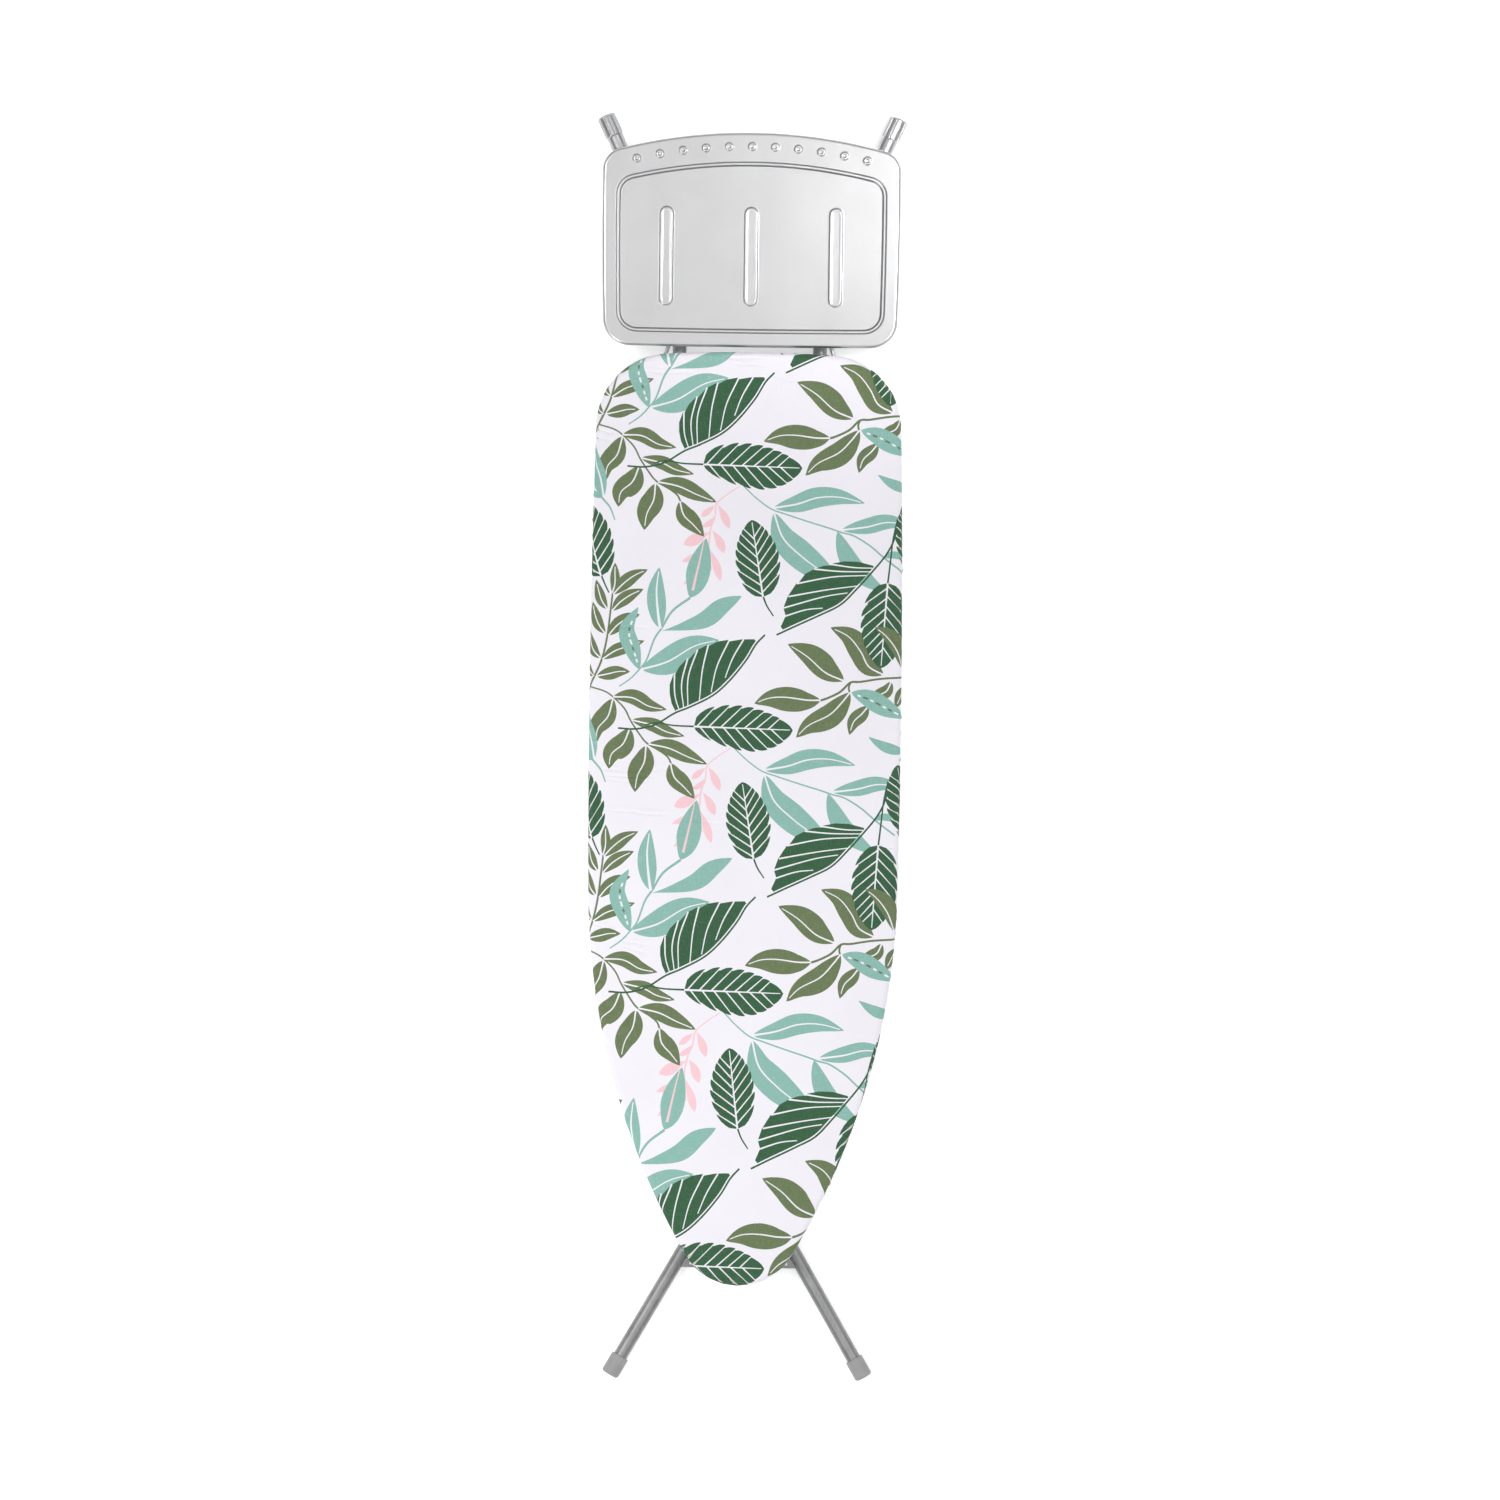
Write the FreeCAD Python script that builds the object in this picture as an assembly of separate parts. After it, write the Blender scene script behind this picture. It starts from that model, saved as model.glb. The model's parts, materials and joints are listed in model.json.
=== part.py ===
"""Folding ironing board, stored flat: padded deck up, both leg frames folded beneath it.

Frame: +X across the board, +Y from the nose to the iron rest, +Z up. The origin is the bottom
centre of the folded board, on the surface that its four feet lie on. Units are millimetres.

The two leg frames make an equal-armed X. The outer frame is hinged to the deck near the nose.
The inner frame crosses it at mid length, and its top rod slides in two slotted rails. A latch
carriage rides on that rod and on the height rack, and its sprung lever drops into a notch.
"""
import FreeCAD, Part
import math
import os

from FreeCAD import Vector

# ---------------------------------------------------------------- driving dimensions
BOARD_LENGTH = 1140.0          # padded deck, nose tip to rear edge
BOARD_WIDTH = 381.0
TOTAL_LENGTH = 1550.0          # foot to foot when folded
NOSE_OVERHANG = 117.0          # inner feet reach this far past the nose tip
SIDE_BARREL_RADIUS = 15000.0   # the long sides bow out very slightly
WIDEST_AT = 700.0              # distance of the widest place from the nose tip
FLANK_RADIUS = 900.0           # curve from the sides to the nose
FLANK_START = 480.0            # where that curve begins, from the nose tip
REAR_CORNER_RADIUS = 90.0
REAR_CROWN_RADIUS = 1800.0

TUBE_RADIUS = 8.5
TUBE_WALL = 1.0
FOOT_RADIUS = 11.0
FOOT_EDGE = 2.0                # chamfer round a foot's closed end
FOOT_CUP_LENGTH = 26.0
FOOT_NECK_LENGTH = 20.0
FOOT_FLUTES = 12
LEG_PLANE_Z = FOOT_RADIUS      # every leg axis lies in this plane when folded

PIVOT_ARM = 430.0              # hinge to crossing pivot, and crossing pivot to top rod
OUTER_SPACING = 86.0           # half distance between the outer tubes
INNER_SPACING = 48.0
OUTER_FOOT_SPACING = 180.0
INNER_FOOT_SPACING = 156.0
OUTER_SPLAY = 24.5             # degrees from the long axis
INNER_SPLAY = 30.0
TUBE_BEND_RADIUS = 60.0
TUBE_END_OVERHANG = 12.0       # tube past its end pivot
FOOT_INSET = 4.0               # closed end of a foot, past the tube's cut end

FOLD_LIMIT = 46.0              # degrees, at the greatest working height
WORKING_STEPS = 6              # height notches
HEIGHT_STEP = 40.0

RIM_BOTTOM, RIM_TOP = 38.0, 57.0
RIM_SHEET = 1.2
RIM_FLANGE = 12.0
RIM_INSET = 3.0                # rim inside the outer face of the cover
MESH_THICKNESS = 1.0
PAD_TOP = 64.0
COVER_THICKNESS = 1.0
HEM_WIDTH, HEM_HEIGHT = 12.0, 7.4
HEM_INSET = 24.0

BRACE_HEIGHT, BRACE_WIDTH, BRACE_SHEET = 12.0, 30.0, 1.0
BRACE_PLACES = {"nose_brace": -560.0, "hinge_brace": -430.0, "middle_brace": 112.0,
                "rear_brace": 415.0, "centre_brace": -160.0}

ROD_RADIUS = 5.0
PIN_RADIUS = 3.0
SLIDE_CLEARANCE = 0.2
PIN_CLEARANCE = 0.05

RAIL_X, RAIL_SHEET = 66.0, 2.0
RACK_SHEET = 3.0
RACK_CREST_Z = 22.0
NOTCH_DEPTH = 3.8
TOOTH_HEIGHT = 4.0
TOOTH_WIDTH = 6.0
TOOTH_ARM = 40.0               # lever pin to tooth
LEVER_PIN_BACK = 52.0          # lever pin behind the top rod

LEVER_ARM = 82.0               # lever pin to the end of its arm
GRIP_WIDTH = 26.0

TRAY_WIDTH, TRAY_DEPTH = 365.0, 263.0
TRAY_GAP = 6.0                 # between the deck and the tray
TRAY_SHEET = 1.2
TRAY_RECESS = 5.0
TRAY_LIP = 7.0
TRAY_BORDER = 19.0
TRAY_TOP_BORDER = 38.0
TRAY_RIB_WIDTH, TRAY_RIB_LENGTH, TRAY_RIB_PITCH, TRAY_RIB_HEIGHT = 19.0, 120.0, 103.5, 2.0
DIMPLE_COUNT, DIMPLE_PITCH, DIMPLE_RADIUS, DIMPLE_HEIGHT = 11, 28.2, 5.5, 1.6
WIRE_RADIUS = 2.5
WIRE_GAP_SPACING = 102.0       # half distance between the wires where they leave the deck
WIRE_SLANT = 18.0              # degrees

# ---------------------------------------------------------------- places worked out from them
NOSE_Y = -TOTAL_LENGTH / 2 + NOSE_OVERHANG
REAR_Y = NOSE_Y + BOARD_LENGTH
HINGE_Y, ROD_Y = -PIVOT_ARM, PIVOT_ARM
OPEN_ROD_Y = HINGE_Y + 2 * PIVOT_ARM * math.cos(math.radians(FOLD_LIMIT))
OUTER_END_Y = TOTAL_LENGTH / 2 - (FOOT_RADIUS - FOOT_EDGE) * math.sin(math.radians(OUTER_SPLAY))
INNER_END_Y = -TOTAL_LENGTH / 2 + (FOOT_RADIUS - FOOT_EDGE) * math.sin(math.radians(INNER_SPLAY))
MESH_BOTTOM = RIM_TOP - MESH_THICKNESS
BRACE_BOTTOM = MESH_BOTTOM - BRACE_HEIGHT
COVER_TOP = PAD_TOP + COVER_THICKNESS
HEM_TOP = RIM_BOTTOM - 0.1
TRAY_FRONT_Y = REAR_Y + TRAY_GAP
TRAY_REAR_Y = TRAY_FRONT_Y + TRAY_DEPTH
WIRE_LOW_Z = 26.5              # below the hem, above the tubes
WIRE_TRAY_Z = 36.0
CROSS_WIRE_Z = WIRE_TRAY_Z + 2 * WIRE_RADIUS
TRAY_FLOOR_Z = CROSS_WIRE_Z + WIRE_RADIUS + 0.1
TRAY_TOP_Z = TRAY_FLOOR_Z + TRAY_SHEET + TRAY_RECESS
SMALL = 0.1                    # gap between parts that only lie against each other


# ---------------------------------------------------------------- outlines made of tangent arcs
def circle_meeting(centre_a, reach_a, centre_b, reach_b, pick):
    """Where two circles cross. pick is +1 or -1 for the crossing on either side of the line a to b."""
    gap = centre_b - centre_a
    along = (reach_a ** 2 - reach_b ** 2 + gap.Length ** 2) / (2 * gap.Length)
    aside = math.sqrt(reach_a ** 2 - along ** 2)
    unit = Vector(gap).normalize()
    return centre_a + unit * along + Vector(-unit.y, unit.x, 0) * aside * pick


def touch_point(small, large, inset):
    """Where a circle touches the larger one that holds it, both shrunk by inset."""
    toward = (small[0] - large[0]).normalize()
    return large[0] + toward * (large[1] - inset)


def mirrored(point):
    return Vector(-point.x, point.y, point.z)


def arc_on(circle, start, end, inset):
    """The short arc from start to end on a circle shrunk by inset."""
    middle = ((start + end) * 0.5 - circle[0]).normalize() * (circle[1] - inset) + circle[0]
    return Part.Arc(start, middle, end).toShape()


def closed_outline(chain, low, high, inset, z):
    """A wire symmetric about X = 0. chain holds (centre, radius) from the low to the high centre line."""
    points = []
    for one, other in zip(chain, chain[1:]):
        small, large = (one, other) if one[1] < other[1] else (other, one)
        points.append(touch_point(small, large, inset))
    start, end = Vector(0, low + inset, 0), Vector(0, high - inset, 0)
    stations = [start] + points + [end]
    right = [arc_on(c, a, b, inset) for c, a, b in zip(chain, stations, stations[1:])]
    left = [arc_on((mirrored(c[0]), c[1]), mirrored(b), mirrored(a), inset)
            for c, a, b in reversed(list(zip(chain, stations, stations[1:])))]
    wire = Part.Wire(right + left)
    wire.translate(Vector(0, 0, z))
    return wire


def board_chain():
    """Nose, flank, side, rear corner and rear edge circles of the deck's right half."""
    half = BOARD_WIDTH / 2
    side = (Vector(half - SIDE_BARREL_RADIUS, NOSE_Y + WIDEST_AT, 0), SIDE_BARREL_RADIUS)
    turn = math.asin((WIDEST_AT - FLANK_START) / SIDE_BARREL_RADIUS)
    reach = SIDE_BARREL_RADIUS - FLANK_RADIUS
    flank_centre = side[0] + Vector(reach * math.cos(turn), -reach * math.sin(turn), 0)
    rise = flank_centre.y - NOSE_Y
    nose_radius = (FLANK_RADIUS ** 2 - flank_centre.x ** 2 - rise ** 2) / (2 * (FLANK_RADIUS - rise))
    nose = (Vector(0, NOSE_Y + nose_radius, 0), nose_radius)
    rear = (Vector(0, REAR_Y - REAR_CROWN_RADIUS, 0), REAR_CROWN_RADIUS)
    corner_centre = circle_meeting(side[0], SIDE_BARREL_RADIUS - REAR_CORNER_RADIUS,
                                   rear[0], REAR_CROWN_RADIUS - REAR_CORNER_RADIUS, 1)
    return [nose, (flank_centre, FLANK_RADIUS), side, (corner_centre, REAR_CORNER_RADIUS), rear]


def board_outline(inset, z=0.0):
    return closed_outline(board_chain(), NOSE_Y, REAR_Y, inset, z)


def tray_outline(inset, z=0.0, top_inset=None):
    """The tray's outline: nearly straight front and sides, and a crowned far edge."""
    top_inset = inset if top_inset is None else top_inset
    half = TRAY_WIDTH / 2 - inset
    low, high = TRAY_FRONT_Y + inset, TRAY_REAR_Y - top_inset
    side_radius, front_radius, crown_radius = 5000.0, 12000.0, 640.0
    front_corner, far_corner = 33.0 - inset / 2, 27.0 - inset / 4
    side = (Vector(half - side_radius, low + 0.7 * (high - low), 0), side_radius)
    front = (Vector(0, low + front_radius, 0), front_radius)
    crown = (Vector(0, high - crown_radius, 0), crown_radius)
    near = circle_meeting(side[0], side_radius - front_corner,
                          front[0], front_radius - front_corner, -1)
    far = circle_meeting(side[0], side_radius - far_corner,
                         crown[0], crown_radius - far_corner, 1)
    chain = [front, (near, front_corner), side, (far, far_corner), crown]
    return closed_outline(chain, low, high, 0.0, z)


def prism(wire, height):
    return Part.Face(wire).extrude(Vector(0, 0, height))


def ring(make_wire, outer_inset, inner_inset, z, height):
    """A flat ring between two insets of an outline."""
    inner = prism(make_wire(inner_inset, z - 1), height + 2)
    return prism(make_wire(outer_inset, z), height).cut(inner)


# ---------------------------------------------------------------- small shape helpers
def box(x0, x1, y0, y1, z0, z1):
    return Part.makeBox(x1 - x0, y1 - y0, z1 - z0, Vector(x0, y0, z0))


def x_cylinder(radius, x0, x1, y, z):
    return Part.makeCylinder(radius, x1 - x0, Vector(x0, y, z), Vector(1, 0, 0))


def z_cylinder(radius, x, y, z0, z1):
    return Part.makeCylinder(radius, z1 - z0, Vector(x, y, z0))


def y_slot(radius, y0, y1, z, x0, x1):
    """A prism along X whose section is a slot from centre y0 to centre y1."""
    ends = x_cylinder(radius, x0, x1, y0, z).fuse(x_cylinder(radius, x0, x1, y1, z))
    return ends.fuse(box(x0, x1, y0, y1, z - radius, z + radius)).removeSplitter()


def mirror_x(shape):
    return shape.mirror(Vector(0, 0, 0), Vector(1, 0, 0))


def both_sides(shape):
    return Part.makeCompound([shape, mirror_x(shape)])


def polygon_plate(points, x0, x1):
    """A plate in the YZ plane from x0 to x1."""
    corners = [Vector(x0, y, z) for y, z in points]
    return Part.Face(Part.makePolygon(corners + corners[:1])).extrude(Vector(x1 - x0, 0, 0))


def rounded_path(points, radius):
    """Straight runs through points, joined by tangent arcs."""
    edges, last = [], points[0]
    for before, corner, after in zip(points, points[1:], points[2:]):
        inward, outward = (before - corner).normalize(), (after - corner).normalize()
        half = inward.getAngle(outward) / 2
        back = radius / math.tan(half)
        start, end = corner + inward * back, corner + outward * back
        bisector = (inward + outward).normalize()
        middle = corner + bisector * (radius / math.sin(half) - radius)
        edges += [Part.LineSegment(last, start).toShape(), Part.Arc(start, middle, end).toShape()]
        last = end
    return Part.Wire(edges + [Part.LineSegment(last, points[-1]).toShape()])


def swept_rod(path, radius):
    first = path.OrderedEdges[0]
    start = first.firstVertex(True).Point
    heading = first.tangentAt(first.FirstParameter)
    if (start - first.valueAt(first.FirstParameter)).Length > SMALL:
        heading = first.tangentAt(first.LastParameter) * -1
    profile = Part.Wire(Part.makeCircle(radius, start, heading))
    return path.makePipeShell([profile], True, True)


def swept_tube(path, radius, wall):
    return swept_rod(path, radius).cut(swept_rod(path, radius - wall))


# ---------------------------------------------------------------- deck
def deck_rim():
    wall = ring(board_outline, RIM_INSET, RIM_INSET + RIM_SHEET, RIM_BOTTOM, RIM_TOP - RIM_BOTTOM)
    flange = ring(board_outline, RIM_INSET, RIM_INSET + RIM_FLANGE, RIM_BOTTOM, RIM_SHEET)
    ledge_z = MESH_BOTTOM - SMALL - RIM_SHEET
    ledge = ring(board_outline, RIM_INSET, RIM_INSET + RIM_FLANGE - 3, ledge_z, RIM_SHEET)
    return wall.fuse([flange, ledge]).removeSplitter()


def deck_mesh():
    """Expanded-metal sheet: staggered diamonds inside a plain border."""
    inset = RIM_INSET + RIM_SHEET + SMALL
    pitch_x, pitch_y, long_half, wide_half = 30.0, 66.0, 28.0, 11.0
    limit = Part.Face(board_outline(inset + 12.0))
    holes, row, y = [], 0, NOSE_Y
    while y < REAR_Y:
        shift = pitch_x / 2 if row % 2 else 0.0
        for column in range(-7, 8):
            x = column * pitch_x + shift
            corners = [Vector(x, y - long_half, 0), Vector(x + wide_half, y, 0),
                       Vector(x, y + long_half, 0), Vector(x - wide_half, y, 0)]
            if all(limit.isInside(c, SMALL, True) for c in corners):
                holes.append(Part.makePolygon(corners + corners[:1]))
        row, y = row + 1, y + pitch_y / 2
    sheet = Part.makeFace([board_outline(inset)] + holes, "Part::FaceMakerBullseye")
    solid = sheet.extrude(Vector(0, 0, MESH_THICKNESS))
    solid.translate(Vector(0, 0, MESH_BOTTOM))
    return solid


def cross_brace(y):
    """An upturned channel across the deck, trimmed to the rim's ledge."""
    width, sheet, top = BRACE_WIDTH / 2, BRACE_SHEET, MESH_BOTTOM - SMALL
    outer = box(-BOARD_WIDTH, BOARD_WIDTH, y - width, y + width, BRACE_BOTTOM, top)
    inner = box(-BOARD_WIDTH, BOARD_WIDTH, y - width + sheet, y + width - sheet,
                BRACE_BOTTOM + sheet, top + 1)
    room = prism(board_outline(RIM_INSET + RIM_FLANGE + 1.0), COVER_TOP)
    return outer.cut(inner).common(room)


def felt_pad():
    return prism(board_outline(COVER_THICKNESS + SMALL, RIM_TOP + SMALL), PAD_TOP - RIM_TOP - 2 * SMALL)


def cotton_cover():
    top = prism(board_outline(0.0, PAD_TOP), COVER_THICKNESS)
    low = HEM_TOP - COVER_THICKNESS
    skirt = ring(board_outline, 0.0, COVER_THICKNESS, low, PAD_TOP - low)
    under = ring(board_outline, 0.0, HEM_INSET - SMALL, low, COVER_THICKNESS)
    return top.fuse([skirt, under]).removeSplitter()


def hem_span(name):
    """The room one length of the hem takes. The lengths meet where the outline's arcs do."""
    flank, side, corner = board_chain()[1:4]
    front, back = touch_point(flank, side, 0.0).y, touch_point(corner, side, 0.0).y
    if name == "nose":
        return box(-BOARD_WIDTH, BOARD_WIDTH, NOSE_Y, front, 0.0, COVER_TOP)
    if name == "rear":
        return box(-BOARD_WIDTH, BOARD_WIDTH, back, REAR_Y, 0.0, COVER_TOP)
    return box(0.0, BOARD_WIDTH, front, back, 0.0, COVER_TOP)


def hem_casing(name):
    """One length of the hollow hem, sewn on from tape: nose, rear or right-hand side."""
    low = HEM_TOP - HEM_HEIGHT
    outer = ring(board_outline, HEM_INSET, HEM_INSET + HEM_WIDTH, low, HEM_HEIGHT)
    hollow = ring(board_outline, HEM_INSET + COVER_THICKNESS,
                  HEM_INSET + HEM_WIDTH - COVER_THICKNESS,
                  low + COVER_THICKNESS, HEM_HEIGHT - 2 * COVER_THICKNESS)
    return outer.cut(hollow).common(hem_span(name))


def hem_elastic():
    low = HEM_TOP - HEM_HEIGHT
    return ring(board_outline, HEM_INSET + 2.0, HEM_INSET + HEM_WIDTH - 2.0, low + 2.2, 3.0)


def hinge_bracket():
    """Right-hand clevis that holds one outer tube under the hinge brace."""
    gap = TUBE_RADIUS + 0.5
    x0, x1 = OUTER_SPACING - gap - 2.0, OUTER_SPACING + gap + 2.0
    y0, y1, low = HINGE_Y - 14.0, HINGE_Y + 14.0, LEG_PLANE_Z - 7.0
    base_low = BRACE_BOTTOM - SMALL - 2.0
    ears = box(x0, x0 + 2.0, y0, y1, low, base_low).fuse(box(x1 - 2.0, x1, y0, y1, low, base_low))
    base = box(x0 - 12.0, x1 + 12.0, y0, y1, base_low, BRACE_BOTTOM - SMALL)
    hole = x_cylinder(PIN_RADIUS + PIN_CLEARANCE, x0 - 1, x1 + 1, HINGE_Y, LEG_PLANE_Z)
    bolts = [z_cylinder(2.1, x, HINGE_Y, base_low - 1, BRACE_BOTTOM) for x in (x0 - 6, x1 + 6)]
    return base.fuse(ears).removeSplitter().cut([hole] + bolts)


def hinge_pin():
    x0, x1 = OUTER_SPACING - TUBE_RADIUS - 4.0, OUTER_SPACING + TUBE_RADIUS + 4.0
    shaft = x_cylinder(PIN_RADIUS, x0, x1, HINGE_Y, LEG_PLANE_Z)
    heads = [x_cylinder(5.0, x0 - 1.5, x0 + 1.5 - SMALL - 0.5, HINGE_Y, LEG_PLANE_Z),
             x_cylinder(5.0, x1 - 1.5 + SMALL + 0.5, x1 + 1.5, HINGE_Y, LEG_PLANE_Z)]
    return shaft.fuse(heads).removeSplitter()


def rivet_up(x, y, z_top, grip, radius=2.0):
    """A rivet through a plate whose upper face is at z_top, with its head below."""
    shank = z_cylinder(radius, x, y, z_top - grip, z_top)
    head = Part.makeSphere(radius * 2, Vector(x, y, z_top - grip + radius * 1.3))
    below = box(x - 9, x + 9, y - 9, y + 9, z_top - grip - 9, z_top - grip)
    return shank.fuse(head.common(below)).removeSplitter()


def bracket_rivets():
    gap = TUBE_RADIUS + 0.5
    places = (OUTER_SPACING - gap - 8.0, OUTER_SPACING + gap + 8.0)
    one_side = Part.makeCompound([rivet_up(x, HINGE_Y, BRACE_BOTTOM - SMALL, 2.0) for x in places])
    return both_sides(one_side)


def rail_end_y():
    return ROD_Y + 14.0


def guide_rail():
    """Right-hand slotted rail: a plate on edge with a flange riveted under the braces."""
    y0, y1 = BRACE_PLACES["middle_brace"] - BRACE_WIDTH / 2, rail_end_y()
    top = BRACE_BOTTOM - SMALL
    web = box(RAIL_X, RAIL_X + RAIL_SHEET, y0, y1, 4.0, top)
    flange = box(RAIL_X, RAIL_X + 16.0, y0, y1 - 14.0, top - RAIL_SHEET, top)
    slot = y_slot(ROD_RADIUS + SLIDE_CLEARANCE, OPEN_ROD_Y - 0.5, ROD_Y + 0.5, LEG_PLANE_Z,
                  RAIL_X - 1, RAIL_X + RAIL_SHEET + 1)
    holes = [z_cylinder(2.1, RAIL_X + 9.0, y, top - 5, top + 1) for y in rail_rivet_places()]
    lightening = [x_cylinder(7.0, RAIL_X - 1, RAIL_X + 3, y, 31.0) for y in (180, 240, 300, 360)]
    return web.fuse(flange).removeSplitter().cut([slot] + holes + lightening)


def rail_rivet_places():
    return (BRACE_PLACES["middle_brace"], BRACE_PLACES["rear_brace"] - 6.0)


def rail_rivets():
    top = BRACE_BOTTOM - SMALL
    rivets = [rivet_up(RAIL_X + 9.0, y, top, RAIL_SHEET) for y in rail_rivet_places()]
    return both_sides(Part.makeCompound(rivets))


def rod_place(height_drop):
    """Top rod's Y when the deck is height_drop below its greatest working height."""
    arm = PIVOT_ARM + OUTER_END_Y
    rise = arm * math.sin(math.radians(FOLD_LIMIT)) - height_drop
    return HINGE_Y + 2 * PIVOT_ARM * math.sqrt(1 - (rise / arm) ** 2)


def tooth_place(rod_y):
    return rod_y - LEVER_PIN_BACK + TOOTH_ARM


def notch(rod_y):
    """A cut for the lever's tooth: upright on the rod's side, sloped on the other."""
    y, crest = tooth_place(rod_y), RACK_CREST_Z
    points = [(y + 3.6, crest - 1), (y + 3.6, crest + NOTCH_DEPTH), (y - 3.2, crest + NOTCH_DEPTH),
              (y - 7.5, crest), (y - 7.5, crest - 1)]
    return polygon_plate(points, -RACK_SHEET, RACK_SHEET)


def height_rack():
    y0, y1, top = OPEN_ROD_Y - 60.0, rail_end_y() - 4.0, BRACE_BOTTOM - SMALL
    half = RACK_SHEET / 2
    strip = box(-half, half, y0, y1, RACK_CREST_Z, top)
    tabs = [box(-12, 12, y - 10, y + 10, top - 2.0, top) for y in rail_rivet_places()]
    slot = y_slot(2.5 + SLIDE_CLEARANCE, OPEN_ROD_Y - 33.0, ROD_Y - 7.0, 32.0, -half - 1, half + 1)
    drops = [step * HEIGHT_STEP for step in range(WORKING_STEPS)]
    notches = [notch(rod_place(drop)) for drop in drops] + [notch(ROD_Y)]
    return strip.fuse(tabs).removeSplitter().cut([slot] + notches)


# ---------------------------------------------------------------- iron rest
def tray_rib(x):
    """One raised, round-ended rib that the iron stands on."""
    y = TRAY_FRONT_Y + 49.0
    radius = TRAY_RIB_WIDTH / 2
    run = TRAY_RIB_LENGTH - TRAY_RIB_WIDTH
    base = TRAY_FLOOR_Z + TRAY_SHEET
    ends = [z_cylinder(radius, x, y + radius, base, base + TRAY_RIB_HEIGHT),
            z_cylinder(radius, x, y + radius + run, base, base + TRAY_RIB_HEIGHT)]
    bar = box(x - radius, x + radius, y + radius, y + radius + run, base, base + TRAY_RIB_HEIGHT)
    return bar.fuse(ends).removeSplitter()


def dimple(index):
    offset = (index - (DIMPLE_COUNT - 1) / 2) * DIMPLE_PITCH
    path_radius = 630.0
    y = TRAY_REAR_Y - 17.5 - path_radius + math.sqrt(path_radius ** 2 - offset ** 2)
    radius = (DIMPLE_RADIUS ** 2 + DIMPLE_HEIGHT ** 2) / (2 * DIMPLE_HEIGHT)
    ball = Part.makeSphere(radius, Vector(offset, y, TRAY_TOP_Z + DIMPLE_HEIGHT - radius))
    above = box(offset - 20, offset + 20, y - 20, y + 20, TRAY_TOP_Z - 0.4, TRAY_TOP_Z + 9)
    return ball.common(above)


def iron_rest_tray():
    """Pressed sheet: a flat border with a turned-down lip, a sunk floor, ribs and dimples."""
    floor = lambda inset, z: tray_outline(TRAY_BORDER + inset, z, TRAY_TOP_BORDER + inset)
    border = ring_between(tray_outline(0.0, 0), floor(TRAY_SHEET, 0), TRAY_TOP_Z - TRAY_SHEET, TRAY_SHEET)
    lip = ring_between(tray_outline(0.0, 0), tray_outline(TRAY_SHEET, 0),
                       TRAY_TOP_Z - TRAY_LIP, TRAY_LIP)
    wall = ring_between(floor(0.0, 0), floor(TRAY_SHEET, 0), TRAY_FLOOR_Z, TRAY_TOP_Z - TRAY_FLOOR_Z)
    bottom = prism(floor(0.0, TRAY_FLOOR_Z), TRAY_SHEET)
    ribs = [tray_rib(x) for x in (-TRAY_RIB_PITCH, 0.0, TRAY_RIB_PITCH)]
    dimples = [dimple(index) for index in range(DIMPLE_COUNT)]
    return border.fuse([lip, wall, bottom] + ribs + dimples).removeSplitter()


def ring_between(outer, inner, z, height):
    outer.translate(Vector(0, 0, z))
    inner.translate(Vector(0, 0, z - 1))
    return prism(outer, height).cut(prism(inner, height + 2))


def wire_x(y):
    return WIRE_GAP_SPACING - (y - REAR_Y) * math.tan(math.radians(WIRE_SLANT))


def rest_wire():
    """Right-hand wire: welded under the rear brace, cranked below the hem, then up to the tray."""
    weld_z = BRACE_BOTTOM - WIRE_RADIUS
    stations = [(396.0, weld_z), (424.0, weld_z), (437.0, WIRE_LOW_Z), (489.0, WIRE_LOW_Z),
                (520.0, WIRE_TRAY_Z), (702.0, WIRE_TRAY_Z)]
    return swept_rod(rounded_path([Vector(wire_x(y), y, z) for y, z in stations], 6.0), WIRE_RADIUS)


CROSS_WIRE_PLACES = {"rest_cross_wire_front": 548.0, "rest_cross_wire_far": 694.0}
CROSS_WIRE_REACH = {"rest_cross_wire_front": 150.0, "rest_cross_wire_far": 118.0}
CLIP_SPOTS = {"rest_cross_wire_front": 128.0, "rest_cross_wire_far": 80.0}


def cross_wire(name):
    reach, y = CROSS_WIRE_REACH[name], CROSS_WIRE_PLACES[name]
    return x_cylinder(WIRE_RADIUS, -reach, reach, y, CROSS_WIRE_Z)


def tray_clip(x, y):
    """A strap round the cross wire, with a tab welded under the tray's floor."""
    outer, inner = WIRE_RADIUS + SMALL + 1.0, WIRE_RADIUS + SMALL
    top = TRAY_FLOOR_Z - SMALL / 2
    hoop = x_cylinder(outer, x - 9, x + 9, y, CROSS_WIRE_Z)
    hoop = hoop.fuse(box(x - 9, x + 9, y - outer, y, CROSS_WIRE_Z, top))
    tab = box(x - 9, x + 9, y, y + 14.0, top - 1.0, top)
    bore = x_cylinder(inner, x - 10, x + 10, y, CROSS_WIRE_Z)
    trim = box(x - 10, x + 10, y - 20, y + 20, top, top + 9)
    over = box(x - 10, x + 10, y - inner, y + inner, CROSS_WIRE_Z, top + 1)
    return hoop.fuse(tab).removeSplitter().cut([bore, trim, over])


def tray_clips():
    clips = [tray_clip(side * CLIP_SPOTS[name], CROSS_WIRE_PLACES[name])
             for name in CLIP_SPOTS for side in (-1, 1)]
    return Part.makeCompound(clips)


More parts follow.
